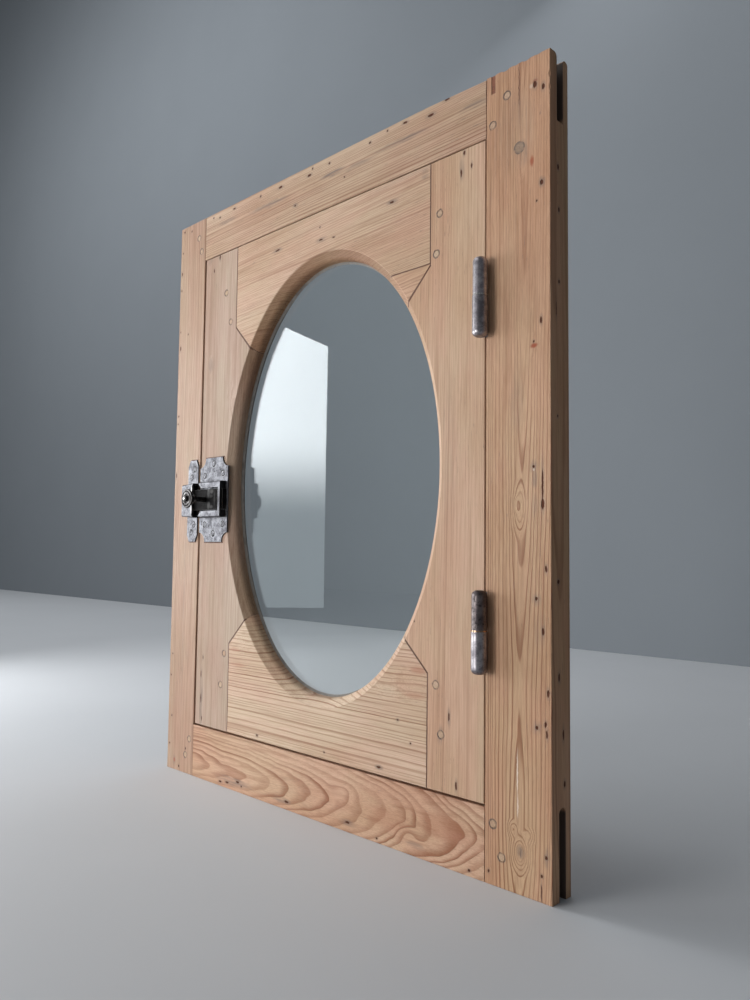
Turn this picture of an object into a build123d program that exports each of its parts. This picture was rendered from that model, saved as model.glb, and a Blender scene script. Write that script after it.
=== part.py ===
from build123d import *
from math import asin, cos, radians, sin, sqrt
import os

# Oval oculus window: a pine frame with a side-hung sash, an oval pane, two barrel hinges
# and a slide latch with a turned knob. Sizes in millimetres.
# The origin is the middle of the frame's bottom edge, halfway through its thickness.
# X runs along the width with the hinges at +X, -Y is the room side, Z is up.

# Frame
frame_width = 661.0
frame_height = 820.0
frame_thickness = 32.5
latch_stile_width = 67.0
hinge_stile_width = 76.5
top_rail_height = 65.5
bottom_rail_height = 72.0
hinge_stile_wear = 1.2  # the hinge stile's top end is worn a little lower than the rest
front_cheek = 12.5  # wood in front of the open mortises
tenon_thickness = 11.0
stop_width = 12.0  # the lip behind the sash that it shuts against
top_slot_height = 70.0  # the open mortises in the hinge stile are taller than the rails
bottom_slot_height = 85.0  # this one ends in the round of the auger that started it
hinge_tenon_length = 50.0  # the rails' tenons stop short of the hinge stile's outer edge
joint_gap = 0.5  # open line at the shoulders of every joint
glue_gap = 0.1  # room round a tenon in its mortise
worn_arris = 0.5  # sharp edges taken off the wood's face

# Wear at the hinge stile's top end
back_cheek_drop = 1.8  # the back cheek is shorter than the front one
cheek_top_round = 4.0
chip_radius = 9.0
top_chips = ((9.0, 1.2), (24.0, 1.9), (37.0, 1.0), (49.0, 1.6), (63.0, 0.9))  # from the joint, depth
edge_chips = ((26.0, 1.3), (39.0, 1.0), (47.0, 0.7))  # down from the top, depth
sliver_length = 95.0  # a sliver has split off the top rail's upper edge beside that stile
sliver_height = 2.8
sliver_depth = 8.0

# Sash
latch_side_gap = 4.0
hinge_side_gap = 1.2
top_gap = 1.5
bottom_gap = 2.7
stop_gap = 0.3
sash_latch_stile_width = 78.0
sash_hinge_stile_width = 74.5
sash_top_rail_height = 116.0
sash_bottom_rail_height = 120.0
waist_latch = 62.0  # wood left beside the oval at its widest and tallest points
waist_hinge = 56.3
waist_top = 54.2
waist_bottom = 59.1
mitre_reach = 70.0  # how far the 45 degree joints are drawn towards the oval's middle
sash_front_cheek = 10.0
sash_tenon_length = 50.0
sash_tenon_setback = 12.0  # wood outside a tenon, at the sash's top and bottom edge
sash_tenon_step = 1.5  # wood inside a tenon, at the rail's shoulder corner
block_glue_drop = 113.4  # from the sash's top edge down to the glued-on block

# Oval, glass and putty
bevel_width = 11.0  # worn bevel round the oval, along the face
bevel_depth = 8.5
bevel_soften = 9.0  # radius where the bevel runs into the oval's wall
reveal_depth = 20.0  # from the sash's face to the shelf that the glass beds on
glass_shelf = 8.0
glass_thickness = 3.0
glass_edge_gap = 1.2
putty_bed = 1.0
putty_bead = 2.5  # bedding putty squeezed out in front of the pane
putty_lip = 1.5  # putty left standing on the back of the shelf
hairline = 0.1  # kept between curved faces that touch
sprig_count = 8
sprig_radius = 0.7
sprig_length = 11.0
sprig_bite = 4.0  # length of a sprig driven into the wood

# Pegs, plug and wedge: distance from the joint line, distance from the frame's or sash's edge
peg_radius = 4.0
peg_gap = 0.1
peg_ease = 0.6
frame_peg_spots = {
    ("hinge", "top"): ((8.0, 54.8), (25.9, 29.5)),
    ("hinge", "bottom"): ((9.8, 58.4), (20.1, 29.1)),
    ("latch", "top"): ((10.5, 48.9), (18.0, 27.0)),
    ("latch", "bottom"): ((10.0, 50.0), (19.0, 26.0)),
}
sash_peg_spots = {
    ("hinge", "top"): ((13.0, 60.3), (8.5, 104.5)),
    ("hinge", "bottom"): ((11.4, 109.0), (18.9, 58.5)),
    ("latch", "top"): ((25.7, 60.4), (13.2, 105.0)),
    ("latch", "bottom"): ((10.7, 105.4), (17.9, 61.9)),
}
plug_radius = 5.0
plug_depth = 10.0
plug_from_joint = 40.8
plug_from_end = 90.0
wedge_width = 5.0
wedge_height = 20.0
wedge_from_joint = 8.9
wedge_recess = 0.6

# Hinges
hinge_from_top = 236.4  # middle of the upper hinge below the frame's top
hinge_from_bottom = 243.9
barrel_proud = 9.2  # axis in front of the wood's face
upper_knuckle_radius = 7.75
lower_knuckle_radius = 8.25
lower_knuckle_length = 42.2
upper_knuckle_length = 39.4
knuckle_end_round = 5.5
washer_radius = 7.9
washer_thickness = 1.5
hinge_play = 0.1
pin_radius = 3.5
pin_clearance = 0.06
pin_reach = 31.0  # into each knuckle
leaf_thickness = 2.2
leaf_depth = 20.0
leaf_end_margin = 2.0  # the leaf stops short of the barrel's ends
leaf_screw_pitch = 27.0
leaf_screw_depth = 11.0  # from the wood's face
leaf_screw_length = 22.0

# Latch: a plate with two ears on the sash, with a case that guides the bolt
latch_height = 394.7
plate_thickness = 2.0
latch_plate_width = 69.0
latch_plate_height = 121.0
latch_plate_setback = 0.5  # from the sash's edge
ear_notch_radius = 13.5
case_width = 52.5
case_height = 51.0
case_inset = 11.5  # case end behind the plate's end, on the keeper side
case_proud = 10.0
case_wall = 3.0
case_bend_radius = 2.6
case_end_bar = 4.4  # closes the case's window away from the keeper; it is open towards it
case_throat = 6.0  # how far the window's open end widens, along the case
case_throat_edge = 2.5  # what is left of the case's end above and below the widening
window_height = 33.6
case_stud_radius = 1.3
case_stud_pitch = 30.0
bolt_height = 29.0
bolt_thickness = 6.4
bolt_clearance = 0.3
bolt_in_keeper = 21.0
bolt_tail = 2.5
bolt_nose_chamfer = 1.2
knob_from_case_end = 12.0
spigot_radius = 3.0
spring_width = 7.0
spring_length = 30.0
spring_thickness = 0.6
spring_drop = 9.0  # the spring's middle below the bolt's
spring_play = 0.1
spring_groove_depth = 2.4  # cut in the bolt's back, long enough for its whole travel
groove_end_gap = 1.0
stem_radius = 3.7
knob_collar_height = 19.0  # heights on the knob are above the bolt's face
knob_collar_radius = 6.2
knob_collar_width = 5.0
knob_neck_radius = 4.8
knob_radius = 13.7
knob_rim_height = 29.5
knob_rim_width = 2.6
knob_height = 35.6
# Turned rings on the knob's face: a point on each round and its end, as a share of the knob's
# radius and a rise above the middle of its rim
knob_rings = (((0.82, 1.2), (0.74, 0.1)), ((0.59, 1.5), (0.44, 0.3)), ((0.38, 0.0), (0.31, 0.5)))
plate_chamfer = 0.5

# Keeper on the frame's latch stile
keeper_width = 27.5
keeper_height = 120.0
keeper_ear_width = 26.5
keeper_point_width = 5.2  # corners taken off the ears
keeper_point_height = 9.5
keeper_box_height = 46.5
keeper_mouth_height = 50.0  # the box flares a little towards the bolt
keeper_wall = 2.5
keeper_bend_radius = 2.4
keeper_lip_width = 4.0
keeper_lip_proud = 0.9
keeper_lip_round = 0.6

# Screws
plate_screw_head_radius = 4.0
leaf_screw_head_radius = 3.4
screw_slot_width = 1.1
screw_slot_depth = 1.1
screw_dome = 0.5
plate_screw_length = 18.0
screw_shank_ratio = 0.45  # the shank's, the cone's and the point's size against the head's radius
screw_cone_ratio = 0.6
screw_point_ratio = 2.0
latch_screw_spots = ((0.0, 50.0), (-22.3, 35.7), (22.3, 35.7), (0.0, -50.0), (-22.3, -35.7), (22.3, -35.7))
latch_slot_angles = (70, -60, 55, -50, 80, 50)
keeper_screw_spots = ((3.8, 46.0), (-3.9, 34.8), (3.8, -35.0), (-3.4, -46.3))
keeper_slot_angles = (80, 30, 20, 60)

# Places worked out from the sizes above
left, right = -frame_width / 2, frame_width / 2
front, back = -frame_thickness / 2, frame_thickness / 2
top = frame_height
stop_face = front + front_cheek + tenon_thickness
slot_round = tenon_thickness / 2
opening_left = left + latch_stile_width
opening_right = right - hinge_stile_width
opening_bottom = bottom_rail_height
opening_top = top - top_rail_height

sash_left = opening_left + latch_side_gap
sash_right = opening_right - hinge_side_gap
sash_bottom = opening_bottom + bottom_gap
sash_top = opening_top - top_gap
sash_stop_face = stop_face - stop_gap
joint_left = sash_left + sash_latch_stile_width
joint_right = sash_right - sash_hinge_stile_width
joint_low = sash_bottom + sash_bottom_rail_height
joint_high = sash_top - sash_top_rail_height

oval_x = (sash_left + waist_latch + sash_right - waist_hinge) / 2
oval_z = (sash_bottom + waist_bottom + sash_top - waist_top) / 2
oval_rx = (sash_right - waist_hinge - sash_left - waist_latch) / 2
oval_rz = (sash_top - waist_top - sash_bottom - waist_bottom) / 2
shelf_y = front + reveal_depth
glass_front = shelf_y + putty_bed
glass_back = glass_front + glass_thickness

axis_x = opening_right - hinge_side_gap / 2
axis_y = front - barrel_proud
hinge_length = lower_knuckle_length + washer_thickness + hinge_play + upper_knuckle_length
hinge_middles = {"top": top - hinge_from_top, "bottom": hinge_from_bottom}

plate_left = sash_left + latch_plate_setback
plate_x = plate_left + latch_plate_width / 2
case_left = plate_left + case_inset
case_right = case_left + case_width
case_x = (case_left + case_right) / 2
plate_front = front - plate_thickness
case_front = plate_front - case_proud
bolt_back = plate_front - bolt_clearance
bolt_front = bolt_back - bolt_thickness
keeper_right = opening_left
keeper_left = keeper_right - keeper_width
keeper_x = (keeper_left + keeper_right) / 2
bolt_nose = keeper_right - bolt_in_keeper
bolt_end = case_right + bolt_tail
knob_x = case_left + knob_from_case_end
spring_z = latch_height - spring_drop
spring_left, spring_right = case_x - spring_length / 2, case_x + spring_length / 2
groove_floor = bolt_back - spring_groove_depth
# How far the bolt goes from rest: out to the keeper's end wall, in to the case's end bar
bolt_travel_out = bolt_nose - keeper_left - keeper_wall - bolt_clearance
bolt_travel_in = case_right - case_end_bar - stem_radius - bolt_clearance - knob_x


def upright(y):
    """The upright plane at depth y, facing the room: its x is X and its y is Z."""
    return Plane.XZ.offset(-y)


def bar(x0, x1, y0, y1, z0, z1, mode=Mode.ADD):
    """A straight bar between six faces, added to or cut from the part in hand."""
    with BuildSketch(upright(y1)) as section:
        with Locations(((x0 + x1) / 2, (z0 + z1) / 2)):
            Rectangle(x1 - x0, z1 - z0)
    extrude(section.sketch, amount=y1 - y0, mode=mode)


def oval_block(grow, y0, y1, mode=Mode.ADD):
    """The oval, grown or shrunk all round, between two depths."""
    with BuildSketch(upright(y1)) as section:
        with Locations((oval_x, oval_z)):
            Ellipse(oval_rx + grow, oval_rz + grow)
    extrude(section.sketch, amount=y1 - y0, mode=mode)


def slab(points, y0, y1, mode=Mode.ADD):
    """A flat-sided outline between two depths."""
    with BuildSketch(upright(y1)) as section:
        with BuildLine():
            Polyline(*points, close=True)
        make_face()
    extrude(section.sketch, amount=y1 - y0, mode=mode)


def rod(x, z, radius, y0, y1, mode=Mode.ADD):
    """A round rod along Y between two depths."""
    with BuildSketch(upright(y1)) as section:
        with Locations((x, z)):
            Circle(radius)
    extrude(section.sketch, amount=y1 - y0, mode=mode)


def drum(radius, z_low, z_high, mode=Mode.ADD):
    """A round drum about the hinge axis."""
    with BuildSketch(Plane.XY.offset(z_low)) as section:
        with Locations((axis_x, axis_y)):
            Circle(radius)
    extrude(section.sketch, amount=z_high - z_low, mode=mode)


def peg_centres(spots, joints, ends):
    """Peg centres from their distances: joints and ends give each side's line and direction."""
    centres = {}
    for (side, end), pair in spots.items():
        line, outward = joints[side]
        edge, inward = ends[end]
        centres[side, end] = [(line + outward * dx, edge + inward * dz) for dx, dz in pair]
    return centres


frame_pegs_at = peg_centres(
    frame_peg_spots,
    {"latch": (opening_left, -1), "hinge": (opening_right, 1)},
    {"bottom": (0.0, 1), "top": (top, -1)},
)
sash_pegs_at = peg_centres(
    sash_peg_spots,
    {"latch": (joint_left, -1), "hinge": (joint_right, 1)},
    {"bottom": (sash_bottom, 1), "top": (sash_top, -1)},
)


def peg_holes(centres_by_corner):
    """Holes for the pegs, right through the wood."""
    for centres in centres_by_corner.values():
        for x, z in centres:
            rod(x, z, peg_radius + peg_gap, front, back, mode=Mode.SUBTRACT)


def pegs(centres_by_corner):
    """The pegs themselves, their ends on the room side eased."""
    for centres in centres_by_corner.values():
        for x, z in centres:
            rod(x, z, peg_radius, front, back)
    chamfer(faces().filter_by(Axis.Y).group_by(Axis.Y)[0].edges(), peg_ease)


def ease_front(*axes):
    """Takes the sharpness off the straight front edges that run along these axes."""
    face = faces().sort_by(Axis.Y)[0]
    chamfer([edge for axis in axes for edge in face.edges().filter_by(axis)], worn_arris)


def dome_middle(radius, rise):
    """Halfway point, as radius and height, of a dome's round from its rim to its top."""
    sphere = (radius ** 2 + rise ** 2) / (2 * rise)
    half_turn = asin(radius / sphere) / 2
    return sphere * sin(half_turn), rise - sphere * (1 - cos(half_turn))


def screw_shape(head_radius, length, slot_angle):
    """A slotted countersunk screw with its head's rim on the XY plane and its point down."""
    shank = head_radius * screw_shank_ratio
    point = -length + head_radius * screw_point_ratio
    with BuildPart() as screw:
        with BuildSketch(Plane.XZ):
            with BuildLine():
                Polyline(
                    (0, screw_dome), (0, -length), (shank, point),
                    (shank, -head_radius * screw_cone_ratio), (head_radius, 0),
                )
                ThreePointArc((head_radius, 0), dome_middle(head_radius, screw_dome), (0, screw_dome))
            make_face()
        revolve(axis=Axis.Z)
        with BuildSketch(Plane.XY.offset(screw_dome - screw_slot_depth)):
            Rectangle(head_radius * 2 + screw_slot_width, screw_slot_width, rotation=slot_angle)
        extrude(amount=screw_slot_depth * 2, mode=Mode.SUBTRACT)
    return screw.part


def screw_room(head_radius, length):
    """The countersunk hole that such a screw sits in."""
    shank = head_radius * screw_shank_ratio + hairline
    with BuildPart() as room:
        with BuildSketch(Plane.XZ):
            with BuildLine():
                Polyline(
                    (0, head_radius), (0, -length - hairline), (shank, -length - hairline),
                    (shank, -head_radius * screw_cone_ratio - hairline), (head_radius + hairline, 0),
                    (head_radius + hairline, head_radius), close=True,
                )
            make_face()
        revolve(axis=Axis.Z)
    return room.part


def on_face(spots, middle_x, y):
    """Places on a face towards the room, each with its normal out of the wood."""
    return [
        Location(Plane(origin=(middle_x + dx, y, latch_height + dz), x_dir=(1, 0, 0), z_dir=(0, -1, 0)))
        for dx, dz in spots
    ]


# Places of every screw, and the room that each one takes in what it holds
latch_screw_places = on_face(latch_screw_spots, plate_x, plate_front)
keeper_screw_places = on_face(keeper_screw_spots, keeper_x, plate_front)
plate_screw_room = screw_room(plate_screw_head_radius, plate_screw_length)
leaf_screw_room = screw_room(leaf_screw_head_radius, leaf_screw_length)
latch_screw_shapes = [
    place * screw_shape(plate_screw_head_radius, plate_screw_length, angle)
    for place, angle in zip(latch_screw_places, latch_slot_angles)
]
keeper_screw_shapes = [
    place * screw_shape(plate_screw_head_radius, plate_screw_length, angle)
    for place, angle in zip(keeper_screw_places, keeper_slot_angles)
]


def leaf_screw_places(face_x, outward):
    """Three screws through each leaf, sunk so that their domed heads lie flush with it."""
    return [
        Location(Plane(
            origin=(face_x - outward * screw_dome, front + leaf_screw_depth, middle + step * leaf_screw_pitch),
            x_dir=(0, 1, 0), z_dir=(outward, 0, 0),
        ))
        for middle in hinge_middles.values()
        for step in (-1, 0, 1)
    ]


def leaf_screw_shapes(places):
    """One screw for each place."""
    screw = screw_shape(leaf_screw_head_radius, leaf_screw_length, 90)
    return [place * screw for place in places]


frame_leaf_screw_places = leaf_screw_places(opening_right, -1)
sash_leaf_screw_places = leaf_screw_places(sash_right, 1)
frame_leaf_screw_shapes = leaf_screw_shapes(frame_leaf_screw_places)
sash_leaf_screw_shapes = leaf_screw_shapes(sash_leaf_screw_places)


def cut_places(shape, places):
    """Cuts one shape out of the part in hand at every place."""
    add([place * shape for place in places], mode=Mode.SUBTRACT)


def leaf_recess(x0, x1, z_middle):
    """The housing of a hinge leaf in a stile's edge."""
    half = hinge_length / 2 - leaf_end_margin + hairline
    bar(x0, x1, front, front + leaf_depth + hairline, z_middle - half, z_middle + half, Mode.SUBTRACT)


def round_over(x_from, y, z, side):
    """Wears a cheek's top edge round from x_from outwards; side is the way to the open air."""
    radius = cheek_top_round
    with BuildSketch(Plane.YZ.offset(x_from)) as corner:
        with Locations((y - side * radius / 2, z - radius / 2)):
            Rectangle(radius, radius)
        with Locations((y - side * radius, z - radius)):
            Circle(radius, mode=Mode.SUBTRACT)
    extrude(corner.sketch, amount=right - x_from, mode=Mode.SUBTRACT)


# Frame: two full-height stiles and two rails joined by open mortises and tenons
with BuildPart() as frame_latch_stile:
    bar(left, opening_left, front, stop_face, 0, top)
    ease_front(Axis.X, Axis.Z)
    bar(left, opening_left + stop_width, stop_face, back, 0, top)
    slot_end = opening_left + stop_width
    bar(left, slot_end, front + front_cheek, stop_face, 0, bottom_rail_height, Mode.SUBTRACT)
    bar(left, slot_end, front + front_cheek, stop_face, opening_top, top, Mode.SUBTRACT)
    peg_holes(frame_pegs_at)
    cut_places(plate_screw_room, keeper_screw_places)

with BuildPart() as frame_hinge_stile:
    stile_top = top - hinge_stile_wear
    bar(opening_right, right, front, stop_face, 0, stile_top)
    ease_front(Axis.X, Axis.Z)
    bar(opening_right - stop_width, right, stop_face, back, 0, stile_top - back_cheek_drop)
    slot_end = opening_right - stop_width
    bar(slot_end, right, front + front_cheek, stop_face, 0, bottom_slot_height - slot_round, Mode.SUBTRACT)
    with BuildSketch(Plane.YZ.offset(slot_end)):
        with Locations((front + front_cheek + slot_round, bottom_slot_height - slot_round)):
            Circle(slot_round)
    extrude(amount=right - slot_end, mode=Mode.SUBTRACT)
    for along, depth in top_chips:
        spot = (opening_right + along, front, stile_top + chip_radius - depth)
        add(Solid.make_sphere(chip_radius).moved(Location(spot)), mode=Mode.SUBTRACT)
    for down, depth in edge_chips:
        reach = (chip_radius - depth) / sqrt(2)
        spot = (right + reach, front - reach, stile_top - down)
        add(Solid.make_sphere(chip_radius).moved(Location(spot)), mode=Mode.SUBTRACT)
    bar(slot_end, right, front + front_cheek, stop_face, top - top_slot_height, stile_top, Mode.SUBTRACT)
    round_over(slot_end, front + front_cheek, stile_top, 1)
    round_over(slot_end, stop_face, stile_top - back_cheek_drop, -1)
    round_over(slot_end, back, stile_top - back_cheek_drop, 1)
    peg_holes(frame_pegs_at)
    rod(right - hinge_stile_width + plug_from_joint, top - plug_from_end, plug_radius + hairline / 2,
        front, front + plug_depth, Mode.SUBTRACT)
    wedge_left = opening_right + wedge_from_joint - wedge_width / 2
    bar(wedge_left, wedge_left + wedge_width, front, front + front_cheek,
        stile_top - wedge_height, stile_top, Mode.SUBTRACT)
    for z_middle in hinge_middles.values():
        leaf_recess(opening_right, opening_right + leaf_thickness + hairline, z_middle)
    cut_places(leaf_screw_room, frame_leaf_screw_places)


def frame_rail_body(z_low, z_high, lip_low, lip_high):
    """A frame rail: face part, lip behind the sash, and a tenon at each end."""
    bar(opening_left + joint_gap, opening_right - joint_gap, front, stop_face, z_low, z_high)
    ease_front(Axis.X)
    bar(opening_left + stop_width + joint_gap, opening_right - stop_width - joint_gap,
        stop_face, back, lip_low, lip_high)
    bar(left, opening_right + hinge_tenon_length, front + front_cheek + glue_gap, stop_face - glue_gap,
        z_low, z_high)
    peg_holes(frame_pegs_at)


with BuildPart() as frame_top_rail:
    frame_rail_body(opening_top, top, opening_top - stop_width, top)
    joint = opening_right - joint_gap
    slab([(joint - sliver_length, top), (joint, top), (joint, top - sliver_height)],
         front, front + sliver_depth, Mode.SUBTRACT)

with BuildPart() as frame_bottom_rail:
    frame_rail_body(0, opening_bottom, 0, opening_bottom + stop_width)

with BuildPart() as frame_pegs:
    pegs(frame_pegs_at)

with BuildPart() as stile_plug:
    rod(right - hinge_stile_width + plug_from_joint, top - plug_from_end, plug_radius,
        front, front + plug_depth)

with BuildPart() as joint_wedge:
    bar(wedge_left, wedge_left + wedge_width, front + wedge_recess, front + front_cheek,
        stile_top - wedge_height, stile_top - wedge_recess)

# Sash: one rebated panel with the oval in it, then split along its joints
with BuildPart() as sash_blank:
    bar(sash_left, sash_right, front, sash_stop_face, sash_bottom, sash_top)
    ease_front(Axis.X, Axis.Z)
    bar(sash_left + stop_width, sash_right - stop_width, sash_stop_face, back,
        sash_bottom + stop_width, sash_top - stop_width)
    oval_block(-bevel_width, front, back, Mode.SUBTRACT)
    front_rim = sash_blank.edges().filter_by(GeomType.ELLIPSE).sort_by(Axis.Y)[0]
    front_face = sash_blank.faces().sort_by(Axis.Y)[0]
    chamfer(front_rim, length=bevel_width, length2=bevel_depth, reference=front_face)
    wall_rim = sash_blank.edges().filter_by_position(
        Axis.Y, front + bevel_depth - hairline, front + bevel_depth + hairline)
    fillet(wall_rim, bevel_soften)
    oval_block(glass_shelf - bevel_width, shelf_y, back, Mode.SUBTRACT)


def oval_frame(angle):
    """The point of the glass shelf's outline at an angle, and its outward direction."""
    rx = oval_rx - bevel_width + glass_shelf
    rz = oval_rz - bevel_width + glass_shelf
    turn = radians(angle)
    point = Vector(oval_x + rx * cos(turn), 0, oval_z + rz * sin(turn))
    outward = Vector(cos(turn) / rx, 0, sin(turn) / rz).normalized()
    return point, outward


def sprig_rods(radius):
    """Headless pins laid on the glass and driven into the shelf's side."""
    rods = []
    for k in range(sprig_count):
        point, outward = oval_frame(360 / sprig_count * (k + 0.5))
        foot = point + outward * sprig_bite + Vector(0, glass_back + sprig_radius + hairline, 0)
        plane = Plane(origin=foot, z_dir=-outward)
        rods.append(Solid.make_cylinder(radius, sprig_length, plane))
    return rods


sprig_holes = sprig_rods(sprig_radius + hairline / 2)
mitre_lift = joint_gap * (sqrt(2) - 1)


def stile_outline(edge, joint, reach):
    """A sash stile's outline: its two shoulder corners run at 45 degrees towards the oval."""
    return [
        (edge, sash_bottom), (joint, sash_bottom), (joint, joint_low), (joint + reach, joint_low + mitre_reach),
        (joint + reach, joint_high - mitre_reach), (joint, joint_high), (joint, sash_top), (edge, sash_top),
    ]


def rail_outline(edge, shoulder, reach):
    """A sash rail's outline, a joint's width away from the stiles."""
    start, end = joint_left + joint_gap, joint_right - joint_gap
    lifted = shoulder - mitre_lift if reach > 0 else shoulder + mitre_lift
    return [
        (start, edge), (end, edge), (end, lifted), (end - mitre_reach, lifted + reach),
        (start + mitre_reach, lifted + reach), (start, lifted),
    ]


# Each sash tenon and its mortise: which stile it enters and its low and high edges
sash_tenon_spans = {
    "bottom": (sash_bottom + sash_tenon_setback, joint_low - sash_tenon_step),
    "top": (joint_high + sash_tenon_step, sash_top - sash_tenon_setback),
}
sash_tenon_front = front + sash_front_cheek
sash_tenon_back = sash_tenon_front + tenon_thickness


def sash_mortises(joint, inner_end):
    """Two mortises in a sash stile, one for each rail."""
    x0, x1 = sorted((joint, inner_end))
    for z_low, z_high in sash_tenon_spans.values():
        bar(x0, x1, sash_tenon_front - glue_gap, sash_tenon_back + glue_gap,
            z_low - glue_gap, z_high + glue_gap, Mode.SUBTRACT)


def sash_tenons(end):
    """A tenon at each end of a sash rail."""
    z_low, z_high = sash_tenon_spans[end]
    bar(joint_left - sash_tenon_length, joint_left + joint_gap, sash_tenon_front, sash_tenon_back, z_low, z_high)
    bar(joint_right - joint_gap, joint_right + sash_tenon_length, sash_tenon_front, sash_tenon_back, z_low, z_high)


with BuildPart() as sash_latch_stile:
    add(sash_blank.part)
    slab(stile_outline(sash_left, joint_left, mitre_reach), front, back, Mode.INTERSECT)
    sash_mortises(joint_left, joint_left - sash_tenon_length - glue_gap)
    peg_holes(sash_pegs_at)
    add(sprig_holes, mode=Mode.SUBTRACT)
    cut_places(plate_screw_room, latch_screw_places)

with BuildPart() as sash_hinge_stile:
    add(sash_blank.part)
    slab(stile_outline(sash_right, joint_right, -mitre_reach), front, back, Mode.INTERSECT)
    sash_mortises(joint_right, joint_right + sash_tenon_length + glue_gap)
    peg_holes(sash_pegs_at)
    add(sprig_holes, mode=Mode.SUBTRACT)
    for z_middle in hinge_middles.values():
        leaf_recess(sash_right - leaf_thickness - hairline, sash_right, z_middle)
    cut_places(leaf_screw_room, sash_leaf_screw_places)

block_top = sash_top - block_glue_drop

with BuildPart() as sash_top_rail:
    add(sash_blank.part)
    slab(rail_outline(sash_top, joint_high, -mitre_reach), front, back, Mode.INTERSECT)
    bar(oval_x, joint_right, front, back, joint_high - mitre_reach, block_top + joint_gap / 2, Mode.SUBTRACT)
    sash_tenons("top")
    peg_holes(sash_pegs_at)
    add(sprig_holes, mode=Mode.SUBTRACT)

with BuildPart() as sash_rail_block:
    add(sash_blank.part)
    slab(rail_outline(sash_top, joint_high, -mitre_reach), front, back, Mode.INTERSECT)
    bar(oval_x, joint_right - joint_gap, front, back, joint_high - mitre_reach, block_top, Mode.INTERSECT)
    add(sprig_holes, mode=Mode.SUBTRACT)

with BuildPart() as sash_bottom_rail:
    add(sash_blank.part)
    slab(rail_outline(sash_bottom, joint_low, mitre_reach), front, back, Mode.INTERSECT)
    sash_tenons("bottom")
    peg_holes(sash_pegs_at)
    add(sprig_holes, mode=Mode.SUBTRACT)

with BuildPart() as sash_pegs:
    pegs(sash_pegs_at)

# Pane, putty and sprigs
glass_grow = glass_shelf - bevel_width - glass_edge_gap
with BuildPart() as glass_pane:
    oval_block(glass_grow, glass_front, glass_back)

with BuildPart() as glazing_putty:
    oval_block(glass_shelf - bevel_width - hairline, shelf_y + hairline, back - putty_lip)
    oval_block(-bevel_width - hairline, glass_front - putty_bead, shelf_y + hairline)
    oval_block(glass_grow + hairline, glass_front, glass_back, Mode.SUBTRACT)
    with BuildSketch(upright(glass_back)):
        with Locations((oval_x, oval_z)):
            Ellipse(oval_rx - bevel_width, oval_rz - bevel_width)
    with BuildSketch(upright(back - putty_lip)):
        with Locations((oval_x, oval_z)):
            Ellipse(oval_rx - bevel_width + glass_shelf - putty_lip,
                    oval_rz - bevel_width + glass_shelf - putty_lip)
    loft(ruled=True, mode=Mode.SUBTRACT)
    with BuildSketch(upright(glass_front)):
        with Locations((oval_x, oval_z)):
            Ellipse(oval_rx - bevel_width - putty_bead, oval_rz - bevel_width - putty_bead)
    with BuildSketch(upright(glass_front - putty_bead)):
        with Locations((oval_x, oval_z)):
            Ellipse(oval_rx - bevel_width - hairline * 3, oval_rz - bevel_width - hairline * 3)
    loft(ruled=True, mode=Mode.SUBTRACT)
    add(sprig_holes, mode=Mode.SUBTRACT)

with BuildPart() as glazing_sprigs:
    add(sprig_rods(sprig_radius))


def knuckle(radius, z_low, z_high, round_high):
    """A hinge barrel with one domed end."""
    drum(radius, z_low, z_high)
    ends = edges().filter_by(GeomType.CIRCLE).sort_by(Axis.Z)
    fillet(ends[-1] if round_high else ends[0], knuckle_end_round)


def frame_leaf(z_middle):
    """The lower knuckle with its leaf, let into the frame."""
    low = z_middle - hinge_length / 2
    high = low + lower_knuckle_length
    edge = opening_right
    with BuildPart() as leaf:
        knuckle(lower_knuckle_radius, low, high, False)
        bar(edge, edge + leaf_thickness, front, front + leaf_depth,
            low + leaf_end_margin, low + hinge_length - leaf_end_margin)
        bar(edge, edge + leaf_thickness, axis_y, front, low + knuckle_end_round, high - leaf_end_margin)
        drum(pin_radius + hairline / 4, high - pin_reach, high, Mode.SUBTRACT)
        cut_places(leaf_screw_room, frame_leaf_screw_places)
    return leaf


def sash_leaf(z_middle):
    """The upper knuckle with its leaf, let into the sash."""
    low = z_middle - hinge_length / 2
    high = low + hinge_length
    seat = high - upper_knuckle_length
    edge = sash_right
    with BuildPart() as leaf:
        knuckle(upper_knuckle_radius, seat, high, True)
        bar(edge - leaf_thickness, edge, front, front + leaf_depth,
            low + leaf_end_margin, high - leaf_end_margin)
        bar(edge - leaf_thickness, edge, axis_y, front, seat + leaf_end_margin, high - knuckle_end_round)
        drum(pin_radius + pin_clearance, seat, seat + pin_reach + leaf_end_margin, Mode.SUBTRACT)
        cut_places(leaf_screw_room, sash_leaf_screw_places)
    return leaf


def hinge_pin(z_middle):
    """The pin, fixed in the lower knuckle."""
    split = z_middle - hinge_length / 2 + lower_knuckle_length
    with BuildPart() as pin:
        drum(pin_radius, split - pin_reach, split + washer_thickness + pin_reach)
    return pin


def hinge_washer(z_middle):
    """The ring that the sash's knuckle rides on."""
    split = z_middle - hinge_length / 2 + lower_knuckle_length
    with BuildPart() as washer:
        drum(washer_radius, split, split + washer_thickness)
        drum(pin_radius + pin_clearance, split, split + washer_thickness, Mode.SUBTRACT)
    return washer


with BuildPart() as frame_leaf_screws:
    add(frame_leaf_screw_shapes)

with BuildPart() as sash_leaf_screws:
    add(sash_leaf_screw_shapes)


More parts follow.
